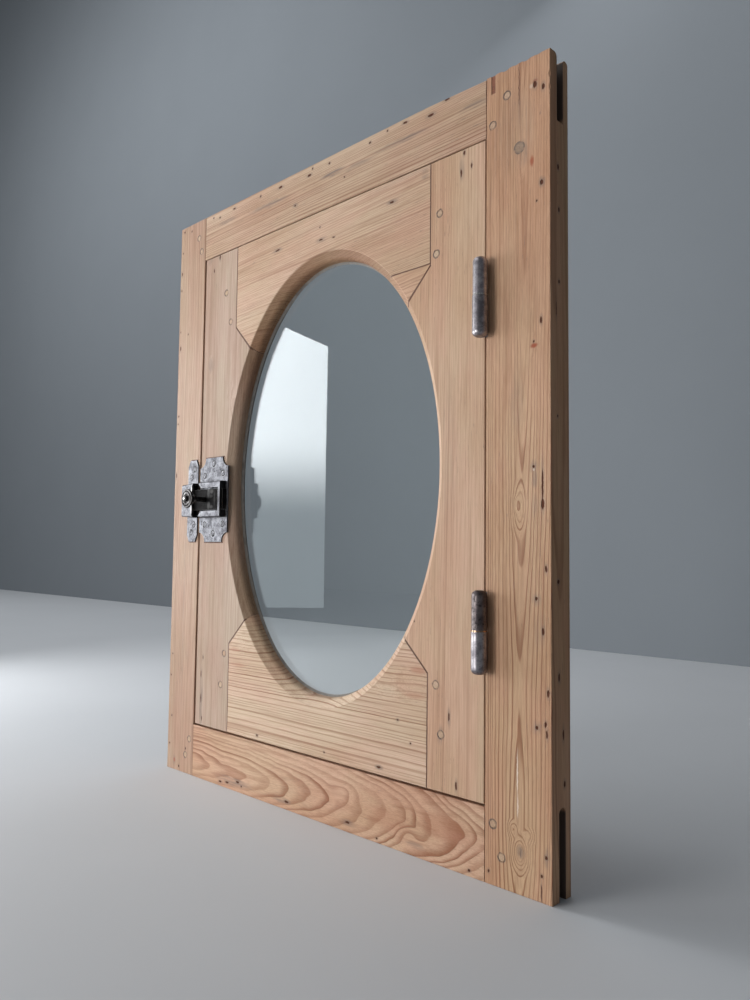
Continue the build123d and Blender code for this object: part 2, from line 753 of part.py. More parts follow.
# Latch: the plate's four corners are bitten away by quarter circles
with BuildPart() as latch_plate:
    with BuildSketch(upright(front)):
        with Locations((plate_x, latch_height)):
            Rectangle(latch_plate_width, latch_plate_height)
            with GridLocations(latch_plate_width, latch_plate_height, 2, 2):
                Circle(ear_notch_radius, mode=Mode.SUBTRACT)
    extrude(amount=plate_thickness)
    rim = latch_plate.faces().sort_by(Axis.Y)[0].edges()
    chamfer(rim, plate_chamfer)
    cut_places(plate_screw_room, latch_screw_places)
    for side in (-1, 1):
        for end in (-1, 1):
            rod(case_x + side * case_stud_pitch / 2, latch_height + end * (case_height - case_wall) / 2,
                case_stud_radius + hairline / 2, plate_front, front, Mode.SUBTRACT)

with BuildPart() as latch_case:
    half = case_height / 2
    bar(case_left, case_right, case_front, plate_front, latch_height - half, latch_height + half)
    fillet(latch_case.faces().sort_by(Axis.Y)[0].edges().filter_by(Axis.X), case_bend_radius)
    bar(case_left + case_wall, case_right - case_wall, case_front + case_wall, plate_front,
        latch_height - half + case_wall, latch_height + half - case_wall, Mode.SUBTRACT)
    bar(case_left, case_right - case_end_bar, case_front, plate_front,
        latch_height - window_height / 2, latch_height + window_height / 2, Mode.SUBTRACT)
    for end in (-1, 1):
        slab([(case_left, latch_height + end * window_height / 2),
              (case_left + case_throat, latch_height + end * window_height / 2),
              (case_left, latch_height + end * (half - case_throat_edge))], case_front, plate_front, Mode.SUBTRACT)
    guide = bolt_height / 2 + bolt_clearance
    bar(case_left, case_right, bolt_front - bolt_clearance, plate_front,
        latch_height - guide, latch_height + guide, Mode.SUBTRACT)
    for side in (-1, 1):
        for end in (-1, 1):
            rod(case_x + side * case_stud_pitch / 2, latch_height + end * (case_height - case_wall) / 2,
                case_stud_radius, plate_front, front)

with BuildPart() as latch_bolt:
    half = bolt_height / 2
    bar(bolt_nose, bolt_end, bolt_front, bolt_back, latch_height - half, latch_height + half)
    chamfer(latch_bolt.faces().sort_by(Axis.X)[0].edges(), bolt_nose_chamfer)
    rod(knob_x, latch_height, spigot_radius + hairline / 2, bolt_front, bolt_back, Mode.SUBTRACT)
    bar(spring_left - bolt_travel_in - groove_end_gap, spring_right + bolt_travel_out + groove_end_gap,
        groove_floor, bolt_back, spring_z - spring_width / 2 - bolt_clearance,
        spring_z + spring_width / 2 + bolt_clearance, Mode.SUBTRACT)

with BuildPart() as bolt_spring:
    crown = groove_floor + spring_play
    with BuildSketch(Plane.XY.offset(spring_z - spring_width / 2)):
        with BuildLine():
            ThreePointArc((spring_left, plate_front), (case_x, crown + spring_thickness), (spring_right, plate_front))
            Line((spring_right, plate_front), (spring_right, plate_front - spring_thickness))
            ThreePointArc((spring_right, plate_front - spring_thickness), (case_x, crown),
                          (spring_left, plate_front - spring_thickness))
            Line((spring_left, plate_front - spring_thickness), (spring_left, plate_front))
        make_face()
    extrude(amount=spring_width)

# The knob is turned about its own axis, which points at the room
knob_axis = Axis((knob_x, bolt_front, latch_height), (0, -1, 0))
knob_plane = Plane(origin=(knob_x, bolt_front, latch_height), x_dir=(1, 0, 0), z_dir=(0, 0, -1))
with BuildPart() as latch_knob:
    collar_low = knob_collar_height - knob_collar_width / 2
    collar_high = knob_collar_height + knob_collar_width / 2
    rim_back = (knob_radius - knob_rim_width / 4, knob_rim_height - knob_rim_width / 2)
    rim_front = (knob_radius - knob_rim_width / 2, knob_rim_height + knob_rim_width / 2)
    bell = ((knob_neck_radius + knob_radius) / 2, rim_back[1] - knob_rim_width / 2)
    with BuildSketch(knob_plane):
        with BuildLine():
            Polyline((0, -bolt_thickness), (spigot_radius, -bolt_thickness), (spigot_radius, 0),
                     (stem_radius, 0), (stem_radius, collar_low))
            ThreePointArc((stem_radius, collar_low), (knob_collar_radius, knob_collar_height),
                          (knob_neck_radius, collar_high))
            ThreePointArc((knob_neck_radius, collar_high), bell, rim_back)
            ThreePointArc(rim_back, (knob_radius, knob_rim_height), rim_front)
            here = rim_front
            for bulge, end in knob_rings:
                middle, there = [(share * knob_radius, knob_rim_height + rise) for share, rise in (bulge, end)]
                ThreePointArc(here, middle, there)
                here = there
            radius, height = dome_middle(here[0], knob_height - here[1])
            ThreePointArc(here, (radius, here[1] + height), (0, knob_height))
            Line((0, knob_height), (0, -bolt_thickness))
        make_face()
    revolve(axis=knob_axis)

with BuildPart() as latch_screws:
    add(latch_screw_shapes)

# Keeper: an eared plate with a bent-up box, open towards the bolt
with BuildPart() as keeper:
    tip = keeper_height / 2
    shoulder = tip - keeper_point_height
    x0, x1 = keeper_left, keeper_left + keeper_ear_width
    ears = [(x0, -shoulder), (x0 + keeper_point_width, -tip), (x1 - keeper_point_width, -tip), (x1, -shoulder),
            (x1, shoulder), (x1 - keeper_point_width, tip), (x0 + keeper_point_width, tip), (x0, shoulder)]
    slab([(x, latch_height + z) for x, z in ears], plate_front, front)
    chamfer(keeper.faces().sort_by(Axis.Y)[0].edges(), plate_chamfer)
    half, mouth = keeper_box_height / 2, keeper_mouth_height / 2
    box = [(keeper_left, -half), (keeper_right, -mouth), (keeper_right, mouth), (keeper_left, half)]
    slab([(x, latch_height + z) for x, z in box], case_front, front)
    box_face = keeper.faces().sort_by(Axis.Y)[0]
    fillet(box_face.edges() - box_face.edges().filter_by(Axis.Z), keeper_bend_radius)
    lip_low = latch_height - mouth + keeper_bend_radius
    lip_high = latch_height + mouth - keeper_bend_radius
    bar(keeper_right - keeper_lip_width, keeper_right, case_front - keeper_lip_proud, case_front,
        lip_low, lip_high)
    fillet(keeper.faces().sort_by(Axis.Y)[0].edges().filter_by(Axis.Z), keeper_lip_round)
    hollow = [(keeper_left + keeper_wall, keeper_wall - half), (keeper_right, keeper_wall - mouth),
              (keeper_right, mouth - keeper_wall), (keeper_left + keeper_wall, half - keeper_wall)]
    slab([(x, latch_height + z) for x, z in hollow], case_front + keeper_wall, plate_front, Mode.SUBTRACT)
    cut_places(plate_screw_room, keeper_screw_places)

with BuildPart() as keeper_screws:
    add(keeper_screw_shapes)

# Every piece under its own name
pieces = {
    "frame_latch_stile": frame_latch_stile,
    "frame_hinge_stile": frame_hinge_stile,
    "frame_top_rail": frame_top_rail,
    "frame_bottom_rail": frame_bottom_rail,
    "frame_pegs": frame_pegs,
    "stile_plug": stile_plug,
    "joint_wedge": joint_wedge,
    "sash_latch_stile": sash_latch_stile,
    "sash_hinge_stile": sash_hinge_stile,
    "sash_top_rail": sash_top_rail,
    "sash_bottom_rail": sash_bottom_rail,
    "sash_rail_block": sash_rail_block,
    "sash_pegs": sash_pegs,
    "glass_pane": glass_pane,
    "glazing_putty": glazing_putty,
    "glazing_sprigs": glazing_sprigs,
    "frame_leaf_screws": frame_leaf_screws,
    "sash_leaf_screws": sash_leaf_screws,
    "latch_plate": latch_plate,
    "latch_case": latch_case,
    "latch_bolt": latch_bolt,
    "bolt_spring": bolt_spring,
    "latch_knob": latch_knob,
    "latch_screws": latch_screws,
    "keeper": keeper,
    "keeper_screws": keeper_screws,
}
for place, z_middle in hinge_middles.items():
    pieces[place + "_hinge_frame_leaf"] = frame_leaf(z_middle)
    pieces[place + "_hinge_sash_leaf"] = sash_leaf(z_middle)
    pieces[place + "_hinge_pin"] = hinge_pin(z_middle)
    pieces[place + "_hinge_washer"] = hinge_washer(z_middle)

os.makedirs("parts", exist_ok=True)
for label, piece in pieces.items():
    piece.part.label = label
    export_step(piece.part, f"parts/{label}.step")
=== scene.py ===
"""Oval oculus window in a pine frame: finishes, glass, worn metal and a plain studio."""

import math
from dataclasses import dataclass
import bpy
from bpy.props import FloatProperty, FloatVectorProperty, PointerProperty
from mathutils import Euler, Matrix, Vector

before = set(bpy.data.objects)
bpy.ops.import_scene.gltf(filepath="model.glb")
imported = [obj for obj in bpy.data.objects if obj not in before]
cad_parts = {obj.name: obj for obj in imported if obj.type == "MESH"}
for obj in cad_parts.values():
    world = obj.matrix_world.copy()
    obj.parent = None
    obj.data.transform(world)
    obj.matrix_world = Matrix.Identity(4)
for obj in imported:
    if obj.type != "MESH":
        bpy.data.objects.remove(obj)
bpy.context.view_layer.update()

bl_info = {
    "name": "Oval oculus window",
    "version": (1, 0, 0),
    "blender": (4, 5, 0),
    "location": "3D View > Sidebar > Oval window",
    "description": "Dresses a pine window with an oval pane, barrel hinges and a slide latch",
    "category": "Object",
}

MM = 0.001
COLOUR = "NodeSocketColor"
NUMBER = "NodeSocketFloat"
ARROW = "NodeSocketVector"

# Places in millimetres of the window's own frame: X across, Y through the wood, Z up
FRONT = -16.25
OUTER_EDGE = 330.5


# Settings that a user would change

def colour(name, description, default):
    """A colour setting."""
    return FloatVectorProperty(
        name=name, description=description, default=default, min=0.0, max=1.0, size=3, subtype="COLOR"
    )


def amount(name, description, default, top=1.0):
    """A plain number from nought upwards."""
    return FloatProperty(
        name=name, description=description, default=default, min=0.0, max=top, subtype="FACTOR"
    )


def length(name, description, default):
    """A length in metres."""
    return FloatProperty(name=name, description=description, default=default, min=0.0, unit="LENGTH")


class PineSettings(bpy.types.PropertyGroup):
    """Colours and wear of the pine"""

    earlywood: colour("Earlywood", "Wide pale part of each growth ring", (0.62, 0.42, 0.275))
    latewood: colour("Latewood", "Narrow dark line of each growth ring", (0.31, 0.135, 0.062))
    stain: colour("Weather stain", "Purple-grey streaks of old weathering", (0.23, 0.150, 0.115))
    hole: colour("Nail hole", "Inside of the old nail holes", (0.105, 0.034, 0.016))
    smudge: colour("Smudge", "Grey rust stain round nails and on worn places", (0.21, 0.150, 0.120))
    pitch: colour("Pitch", "Red resin in small knots", (0.36, 0.085, 0.035))
    # Painted shade inside the open mortises
    grime_and_shade: colour("Grime", "Soot and dirt in the open mortises", (0.045, 0.038, 0.036))
    peg_rim: colour("Peg rim", "Dirt round the pegs' ends", (0.15, 0.115, 0.095))
    wobble: length("Grain wobble", "How far the growth rings wander", 0.0040)
    streaks: amount("Weather streaks", "How much of the wood is streaked", 0.35)


class MetalSettings(bpy.types.PropertyGroup):
    """Colours of the iron, steel and brass"""

    plate: colour("Plate", "Pale mottled steel of the latch plates", (0.185, 0.185, 0.200))
    iron: colour("Iron", "Dark iron of the knob and screws", (0.075, 0.068, 0.066))
    slate: colour("Hinge", "Blue-grey steel of the hinge barrels", (0.400, 0.375, 0.390))
    black: colour("Blackened hinge", "Brown-black barrel of the lower hinge", (0.190, 0.160, 0.155))
    oxide: colour("Oxide", "Black oxide in hollows and spots", (0.018, 0.016, 0.016))
    worn: colour("Worn edge", "Bare metal where hands rub it", (0.62, 0.60, 0.58))
    brass: colour("Brass", "Washer of the bottom hinge", (0.50, 0.31, 0.20))
    wear: amount("Edge wear", "How bright the rubbed edges are", 0.75)


class GlazingSettings(bpy.types.PropertyGroup):
    """The pane and its putty"""

    glass: colour("Glass", "Tint of the old sheet glass", (0.86, 0.90, 0.90))
    putty: colour("Putty", "Old linseed putty", (0.22, 0.20, 0.18))
    ripple: length("Ripple", "Depth of the glass's slow waves", 0.00015)


class StageSettings(bpy.types.PropertyGroup):
    """Floor, backdrop, lights and camera"""

    floor: colour("Floor", "Plain pale floor", (0.62, 0.63, 0.645))
    backdrop: colour("Backdrop", "Plain blue-grey backdrop", (0.25, 0.27, 0.29))
    key: FloatProperty(
        name="Key light", description="Power of the window light", default=24.0, min=0.0, unit="POWER"
    )
    sky: amount("Sky panel", "Brightness of the panel that the pane mirrors", 7.0, top=50.0)
    fill: amount("Fill", "Strength of the soft light from all round", 0.17, top=5.0)
    lens: FloatProperty(
        name="Lens", description="Focal length of the camera", default=28.83, min=1.0, unit="CAMERA"
    )


# Small words for building node trees

def node(tree, kind, inputs=None, **settings):
    """Adds a node, sets its settings, and sets or links its inputs."""
    made = tree.nodes.new(kind)
    for name, value in settings.items():
        setattr(made, name, value)
    for key, value in (inputs or {}).items():
        if isinstance(value, bpy.types.NodeSocket):
            tree.links.new(value, made.inputs[key])
        else:
            made.inputs[key].default_value = value
    return made


def calc(tree, operation, *values, clamp=False):
    """The result of a Math node."""
    made = node(tree, "ShaderNodeMath", dict(enumerate(values)), operation=operation, use_clamp=clamp)
    return made.outputs[0]


def combined(tree, operation, values, clamp=False):
    """The values taken together by one Math operation, such as ADD or MINIMUM."""
    result, *rest = values
    for value in rest:
        result = calc(tree, operation, result, value, clamp=clamp)
    return result


def product(tree, *values, clamp=False):
    """The values multiplied together."""
    return combined(tree, "MULTIPLY", values, clamp)


def arrow(tree, operation, *values, result="Vector"):
    """The result of a Vector Math node."""
    made = node(tree, "ShaderNodeVectorMath", dict(enumerate(values)), operation=operation)
    return made.outputs[result]


def scaled(tree, vector, factor):
    """The vector times a number."""
    made = node(tree, "ShaderNodeVectorMath", {0: vector, "Scale": factor}, operation="SCALE")
    return made.outputs["Vector"]


def stretched(tree, vector, x, y, z):
    """The vector with each axis scaled."""
    return arrow(tree, "MULTIPLY", vector, (x, y, z))


def axis_of(tree, vector, axis):
    """One of the vector's three parts."""
    return node(tree, "ShaderNodeSeparateXYZ", {"Vector": vector}).outputs[axis]


def spread(tree, value, low, high, out_low=0.0, out_high=1.0):
    """A smooth step from one value to another."""
    inputs = {"Value": value, "From Min": low, "From Max": high, "To Min": out_low, "To Max": out_high}
    return node(tree, "ShaderNodeMapRange", inputs, interpolation_type="SMOOTHSTEP").outputs["Result"]


def tint(tree, factor, first, second, mode="MIX"):
    """One colour mixed with another; the numbers are the Mix node's sockets for colours."""
    inputs = {0: factor, 6: first, 7: second}
    return node(tree, "ShaderNodeMix", inputs, data_type="RGBA", blend_type=mode).outputs[2]


def shaded(tree, shade, by):
    """One colour multiplied by another."""
    return tint(tree, 1.0, shade, by, "MULTIPLY")


def noise(tree, vector, scale, detail=2.0, roughness=0.5, result="Fac"):
    """The value or colour of a Noise node."""
    inputs = {"Vector": vector, "Scale": scale, "Detail": detail, "Roughness": roughness}
    return node(tree, "ShaderNodeTexNoise", inputs).outputs[result]


def rgba(setting):
    """A colour setting as a node's colour."""
    return (*setting, 1.0)


def new_group(name, inputs, outputs):
    """A shader node group with named inputs and outputs, listed by their kind, and its inputs."""
    tree = bpy.data.node_groups.new(name, "ShaderNodeTree")
    for way, sockets in (("INPUT", inputs), ("OUTPUT", outputs)):
        for kind, labels in sockets.items():
            for label in labels:
                tree.interface.new_socket(label, in_out=way, socket_type=kind)
    return tree, node(tree, "NodeGroupInput").outputs


def use_group(tree, name, **values):
    """Places a shared group, built when it is first wanted, and returns its outputs."""
    group = bpy.data.node_groups.get(name) or SHARED_GROUPS[name]()
    inputs = {label.replace("_", " "): value for label, value in values.items()}
    return node(tree, "ShaderNodeGroup", inputs, node_tree=group).outputs


# Shared effects

# What a group for a whole finish gives
SKIN = {COLOUR: ("Color",), NUMBER: ("Roughness", "Height")}

# How far the rings wander: turns a metre across and along, the length it uses and its share
GRAIN_WANDER = ((9, 2.2, "Wobble", 5.0), (26, 15, "Swirl", 2.0), (80, 11, "Wobble", 0.4))

# Layers of noise in the pine: turns a metre across and along the grain, detail, roughness
GRAIN_NOISE = {
    "faded": (40, 3, 2.0, 0.5),
    "fibre": (1500, 26, 3.0, 0.6),
    "streak": (190, 3.2, 2.0, 0.55),
    "patch": (14, 4, 3.0, 0.5),
    "hue": (24, 7, 3.0, 0.6),
    "speck": (1000, 60, 2.0, 0.6),
    "cloud": (16, 5, 3.0, 0.6),
    "threads": (330, 5, 2.0, 0.6),
}

# Casts that the pine's colour is multiplied by
PINK_CAST = (1.0, 0.945, 0.925, 1.0)
GREEN_CAST = (0.97, 0.99, 0.935, 1.0)
WARM_CAST = (0.80, 0.66, 0.56, 1.0)
DULL_CAST = (0.58, 0.48, 0.41, 1.0)

# Layers of noise in the metal: turns a metre, detail, roughness
METAL_NOISE = {"cloud": (130.0, 4.0, 0.6), "grit": (900.0, 3.0, 0.6), "pits": (420.0, 2.0, 0.7)}
PATINA_CAST = (0.45, 0.44, 0.46, 1.0)


def old_pine_group():
    """Growth rings round a pith that lies along Z, with fibres, specks and weather streaks."""
    tree, given = new_group(
        "Old pine",
        {
            ARROW: ("Vector",),
            NUMBER: ("Ring Spacing", "Wobble", "Swirl", "Line Start", "Line Strength", "Streaks", "Seed"),
            COLOUR: ("Earlywood", "Latewood", "Stain"),
        },
        SKIN,
    )
    shift = node(tree, "ShaderNodeCombineXYZ", {"X": given["Seed"], "Y": given["Seed"]}).outputs[0]
    seeded = arrow(tree, "ADD", given["Vector"], shift)
    pushed = given["Vector"]
    for across, along, reach, share in GRAIN_WANDER:
        wander = noise(tree, stretched(tree, seeded, across, across, along), 1.0, 2.0, result="Color")
        centred = arrow(tree, "SUBTRACT", wander, (0.5, 0.5, 0.5))
        pushed = arrow(tree, "ADD", pushed, scaled(tree, centred, product(tree, given[reach], share)))
    layers = {
        name: noise(tree, stretched(tree, seeded, across, across, along), 1.0, detail, rough)
        for name, (across, along, detail, rough) in GRAIN_NOISE.items()
    }

    # Rings: how many lie between here and the pith, how far through one, and how dark its late wood is
    from_pith = arrow(tree, "LENGTH", stretched(tree, pushed, 1, 1, 0), result="Value")
    count = calc(tree, "DIVIDE", from_pith, given["Ring Spacing"])
    wander = node(
        tree, "ShaderNodeTexNoise",
        {"W": calc(tree, "MULTIPLY_ADD", count, 0.23, given["Seed"]), "Scale": 1.0, "Detail": 1.0},
        noise_dimensions="1D",
    ).outputs["Fac"]
    rings = calc(tree, "MULTIPLY_ADD", wander, 2.8, count)
    through = calc(tree, "FRACT", rings)
    own = node(
        tree, "ShaderNodeTexWhiteNoise",
        {"W": calc(tree, "ADD", calc(tree, "FLOOR", rings), given["Seed"])}, noise_dimensions="1D",
    ).outputs["Value"]
    rise = spread(tree, through, given["Line Start"], 0.88)
    fall = spread(tree, through, 0.92, 1.0, 1.0, 0.0)
    faded = spread(tree, layers["faded"], 0.28, 0.60, 0.50, 1.0)
    uneven = calc(tree, "MULTIPLY_ADD", own, 0.55, 0.45)
    line = product(tree, rise, fall, uneven, faded, given["Line Strength"], clamp=True)

    # Colour: rings, casts, fibres, specks and weathering, one over the other
    fibre, patch = layers["fibre"], layers["patch"]
    wood = tint(tree, line, given["Earlywood"], given["Latewood"])
    wood = shaded(tree, wood, tint(tree, spread(tree, layers["hue"], 0.36, 0.64), PINK_CAST, GREEN_CAST))
    wood = tint(tree, spread(tree, patch, 0.36, 0.68, 0.0, 0.55), wood, shaded(tree, wood, WARM_CAST))
    dull = shaded(tree, wood, DULL_CAST)
    wood = tint(tree, spread(tree, fibre, 0.34, 0.72, 0.0, 0.42), wood, dull)
    streak = spread(tree, layers["streak"], 0.50, 0.72, 0.0, 0.40)
    wood = tint(tree, streak, wood, tint(tree, 0.5, dull, given["Latewood"]))
    speck = spread(tree, layers["speck"], 0.66, 0.74)
    speck = product(tree, speck, spread(tree, patch, 0.40, 0.62, 0.15, 0.70))
    wood = tint(tree, speck, wood, given["Stain"])
    weather = product(
        tree, spread(tree, layers["cloud"], 0.50, 0.68), spread(tree, layers["threads"], 0.46, 0.68),
        given["Streaks"], clamp=True,
    )
    wood = tint(tree, weather, wood, given["Stain"])

    relief = calc(tree, "MULTIPLY_ADD", line, 0.9, product(tree, fibre, 0.7))
    relief = calc(tree, "SUBTRACT", relief, product(tree, speck, 0.8))
    matt = calc(tree, "MULTIPLY_ADD", fibre, 0.22, 0.50)
    matt = calc(tree, "SUBTRACT", matt, product(tree, line, 0.10))
    node(tree, "NodeGroupOutput", {"Color": wood, "Roughness": matt, "Height": relief})
    return tree


def facing_arris(tree, radius):
    """1 on flat places and less on arrises, where the softened normal turns away from the real one."""
    soft = node(tree, "ShaderNodeBevel", {"Radius": radius}, samples=4).outputs[0]
    true = node(tree, "ShaderNodeNewGeometry").outputs["Normal"]
    return arrow(tree, "DOT_PRODUCT", soft, true, result="Value")


def handled_group():
    """Dirt on the arrises of wood, in patches."""
    sockets = {COLOUR: ("Color", "Dirt"), ARROW: ("Vector",)}
    tree, given = new_group("Handled edges", sockets, {COLOUR: ("Color",)})
    patchy = spread(tree, noise(tree, given["Vector"], 85.0, 3.0), 0.36, 0.62)
    edge = product(tree, spread(tree, facing_arris(tree, 0.0022), 0.99, 0.78), patchy, 0.65)
    node(tree, "NodeGroupOutput", {"Color": tint(tree, edge, given["Color"], given["Dirt"])})
    return tree


def worn_metal_group():
    """Mottled patina with black spots, painted shade on the faces turned away from the front, and bright
    metal on rubbed edges.
    """
    tree, given = new_group(
        "Worn metal",
        {
            ARROW: ("Vector",),
            NUMBER: ("Scale", "Spots", "Wear", "Gloss", "Dark Sides"),
            COLOUR: ("Base", "Oxide", "Worn"),
        },
        SKIN,
    )
    vector = scaled(tree, given["Vector"], given["Scale"])
    cloud, grit, pits = (noise(tree, vector, *layer) for layer in METAL_NOISE.values())
    edge = spread(tree, facing_arris(tree, 0.0007), 0.985, 0.80)
    rubbed = product(tree, edge, spread(tree, cloud, 0.33, 0.58, 0.25, 1.0), given["Wear"], clamp=True)
    patina = shaded(tree, given["Base"], PATINA_CAST)
    skin = tint(tree, spread(tree, cloud, 0.36, 0.66), given["Base"], patina)
    spot = product(tree, spread(tree, pits, 0.58, 0.66), given["Spots"], clamp=True)
    skin = tint(tree, spot, skin, given["Oxide"])
    skin = tint(tree, spread(tree, grit, 0.45, 0.7, 0.0, 0.25), skin, given["Oxide"])
    # Painted shade: faces that turn away from the front take the oxide colour
    facing = axis_of(tree, node(tree, "ShaderNodeTexCoord").outputs["Normal"], "Y")
    side = spread(tree, calc(tree, "ABSOLUTE", facing), 0.85, 0.35)
    skin = tint(tree, product(tree, side, given["Dark Sides"]), skin, given["Oxide"])
    skin = tint(tree, rubbed, skin, given["Worn"])
    matt = calc(tree, "MULTIPLY_ADD", cloud, 0.30, given["Gloss"])
    matt = calc(tree, "ADD", matt, product(tree, spot, 0.35))
    matt = calc(tree, "SUBTRACT", matt, product(tree, rubbed, 0.18), clamp=True)
    relief = calc(tree, "MULTIPLY_ADD", grit, 0.25, product(tree, cloud, 0.6))
    relief = calc(tree, "SUBTRACT", relief, spot)
    node(tree, "NodeGroupOutput", {"Color": skin, "Roughness": matt, "Height": relief})
    return tree


SHARED_GROUPS = {"Old pine": old_pine_group, "Handled edges": handled_group, "Worn metal": worn_metal_group}


# Boards: which way the grain runs, where the pith lies and how the rings show

AXES = {"X": ("Z", "Y", "X"), "Y": ("X", "Z", "Y"), "Z": ("X", "Y", "Z")}  # across, depth and along


@dataclass
class Board:
    """How one board was sawn from its log, in millimetres, with its own tone."""

    grain: str
    pith: tuple
    lean: tuple = (0.0, 0.0)
    spacing: float = 3.5
    wobble: float = 1.0
    swirl: float = 0.6
    start: float = 0.5
    line: float = 0.6
    streaks: float = 1.0
    seed: float = 0.0
    tone: tuple = (1.0, 1.0, 1.0)
    bow: float = 0.0
    fade: tuple = ()  # from and to along the grain, and the share of the rings' strength left there

    def toned(self, setting):
        """A wood colour in this board's tone."""
        return (*(min(1.0, part * share) for part, share in zip(setting, self.tone)), 1.0)


BOARDS = {
    "frame_latch_stile": Board(
        "Z", (-250, 30), (0.007, 0.009), 3.4, 0.6, 0.5, 0.45, 0.55, 1.0, 1.3, (0.84, 0.87, 0.98)),
    "frame_hinge_stile": Board(
        "Z", (294, 7), (0.010, -0.030), 3.1, 0.45, 0.8, 0.55, 0.95, 0.7, 2.9, (1.00, 0.95, 0.93),
        fade=(300.0, 620.0, 0.52)),
    "frame_top_rail": Board(
        "X", (690, 20), (0.012, 0.0), 3.1, 0.5, 0.5, 0.50, 0.85, 1.1, 4.1, (0.94, 0.99, 1.10)),
    "frame_bottom_rail": Board(
        "X", (28, 38), (0.03, 0.095), 3.5, 0.5, 3.0, 0.28, 1.0, 0.4, 5.7, (1.07, 1.06, 1.14), 0.15),
    "sash_latch_stile": Board(
        "Z", (-150, 30), (0.003, 0.007), 3.0, 0.6, 0.4, 0.40, 0.34, 0.5, 6.3, (0.83, 0.92, 1.10)),
    "sash_hinge_stile": Board(
        "Z", (330, 25), (0.005, 0.005), 3.0, 0.6, 0.4, 0.40, 0.30, 0.4, 7.9, (1.06, 1.09, 1.18)),
    "sash_top_rail": Board(
        "X", (560, 10), (0.045, 0.02), 2.9, 0.8, 0.8, 0.50, 0.60, 0.6, 8.4, (1.02, 1.08, 1.20)),
    "sash_bottom_rail": Board(
        "X", (-30, 30), (0.010, 0.004), 4.9, 0.4, 0.8, 0.58, 1.0, 0.3, 9.6, (1.12, 1.24, 1.42)),
    "sash_rail_block": Board(
        "X", (560, 40), (0.10, 0.0), 3.4, 0.8, 0.8, 0.50, 0.55, 0.5, 10.2, (1.02, 1.04, 1.10)),
}

# Places where the growth rings swell towards the face: across, up, radii, height
SWELLS = {
    "frame_hinge_stile": (
        (296, 40, 60, 175, 7.0), (296, 38, 17, 24, 10.0), (286.5, 59, 9, 11, 6.5), (307, 57, 9, 10, 6.0),
        (293, 366, 14, 34, 6.0), (291, 370, 6, 11, 4.0), (312, 526, 6, 18, 2.2), (296, 711, 9, 20, 2.5),
    ),
    "frame_bottom_rail": ((54, 46, 30, 20, 3.0), (150, 20, 26, 16, -3.0)),
    "sash_latch_stile": ((-242, 592, 10, 20, 3.0), (-188, 530, 14, 34, 7.0), (-188, 440, 14, 30, 7.0)),
    "sash_bottom_rail": ((-170, 200, 46, 24, 9.0), (166, 178, 46, 26, 11.0), (120, 170, 26, 14, -4.0)),
}

# Old nail holes on the face: across, up, radius and, where it is torn along the grain, how many times longer
NAIL_HOLES = {
    "frame_top_rail": (
        (-244, 814, 1.1), (-228, 810, 1.3), (-192, 813, 1.1, 2.6), (-131, 812, 1.2), (-87, 811, 1.4, 2.6),
        (-56, 776, 1.0), (-28, 808, 1.4, 2.4), (-22, 815, 1.1), (10, 811, 1.3), (38, 784, 0.9),
        (82, 812, 1.3), (111, 816, 1.0), (139, 815, 1.3, 2.5), (178, 809, 1.5, 2.8), (201, 818, 1.1, 3.0),
    ),
    "sash_top_rail": (
        (-91, 725, 1.0, 4.5), (-6, 733, 0.8), (-4, 716, 0.9, 3.6), (20, 713, 0.8, 2.4), (119, 727, 1.1, 3.0),
    ),
    "frame_latch_stile": (
        (-322, 814, 1.2), (-302, 810, 1.1), (-325, 781, 1.0), (-326, 748, 1.0, 3.0), (-326, 722, 1.1),
        (-326, 657, 1.0), (-325, 631, 1.1, 3.0), (-305, 650, 1.0), (-325, 526, 1.1), (-326, 514, 1.0),
        (-326, 435, 1.1, 3.0), (-323, 168, 1.1), (-326, 136, 1.0), (-321, 77, 1.1), (-325, 36, 1.1),
        (-282, 35, 1.2), (-299, 7, 1.2),
    ),
    "sash_latch_stile": (
        (-225, 750, 1.2, 3.0), (-239, 733, 1.0, 2.6), (-247, 146, 0.9, 5.0), (-246, 112, 0.9, 7.0),
        (-243, 84, 0.8, 4.0), (-243, 170, 0.7, 4.0),
    ),
    "frame_hinge_stile": (
        (321, 686, 1.7, 1.5), (315, 668.7, 0.9), (320, 548.7, 1.2, 2.8), (325, 308, 1.2, 2.6),
        (314, 279.5, 1.3), (321.5, 249, 1.3, 2.4), (327, 192, 1.3, 2.4), (314.5, 159, 1.4),
        (324, 163, 1.3, 2.0), (325.5, 154, 1.0, 3.6), (259, 12.5, 1.2), (324.5, 42, 1.3), (319.5, 24, 1.1),
        (319, 9, 0.5, 14), (323, 782.5, 1.7, 1.8), (313.4, 788.5, 2.0, 1.6), (321.3, 388, 1.0, 15),
        (321.4, 370, 1.7, 3.0), (311.3, 406.5, 1.1), (311.5, 529, 0.9), (294.5, 797, 0.35, 62),
    ),
    "sash_hinge_stile": (
        (225, 749, 1.2, 2.0), (235, 732, 0.9, 3.0), (221, 728, 0.9, 4.5), (208, 153, 0.9, 4.5),
        (218, 85, 1.2, 3.4), (159, 248, 0.7),
    ),
    "sash_bottom_rail": (
        (-114, 81, 1.2), (17, 83, 1.0), (108, 83, 1.3, 2.4), (136, 139, 0.9), (155, 117, 0.9),
    ),
    "frame_bottom_rail": (
        (-194, 6, 1.2, 2.6), (-178, 8, 1.2, 3.0), (-154, 13, 1.3, 2.6), (-146, 9, 1.1), (-51, 10, 1.4, 2.6),
        (59, 11, 1.3, 2.6), (106, 5, 1.1), (235, 6, 1.2),
    ),
}

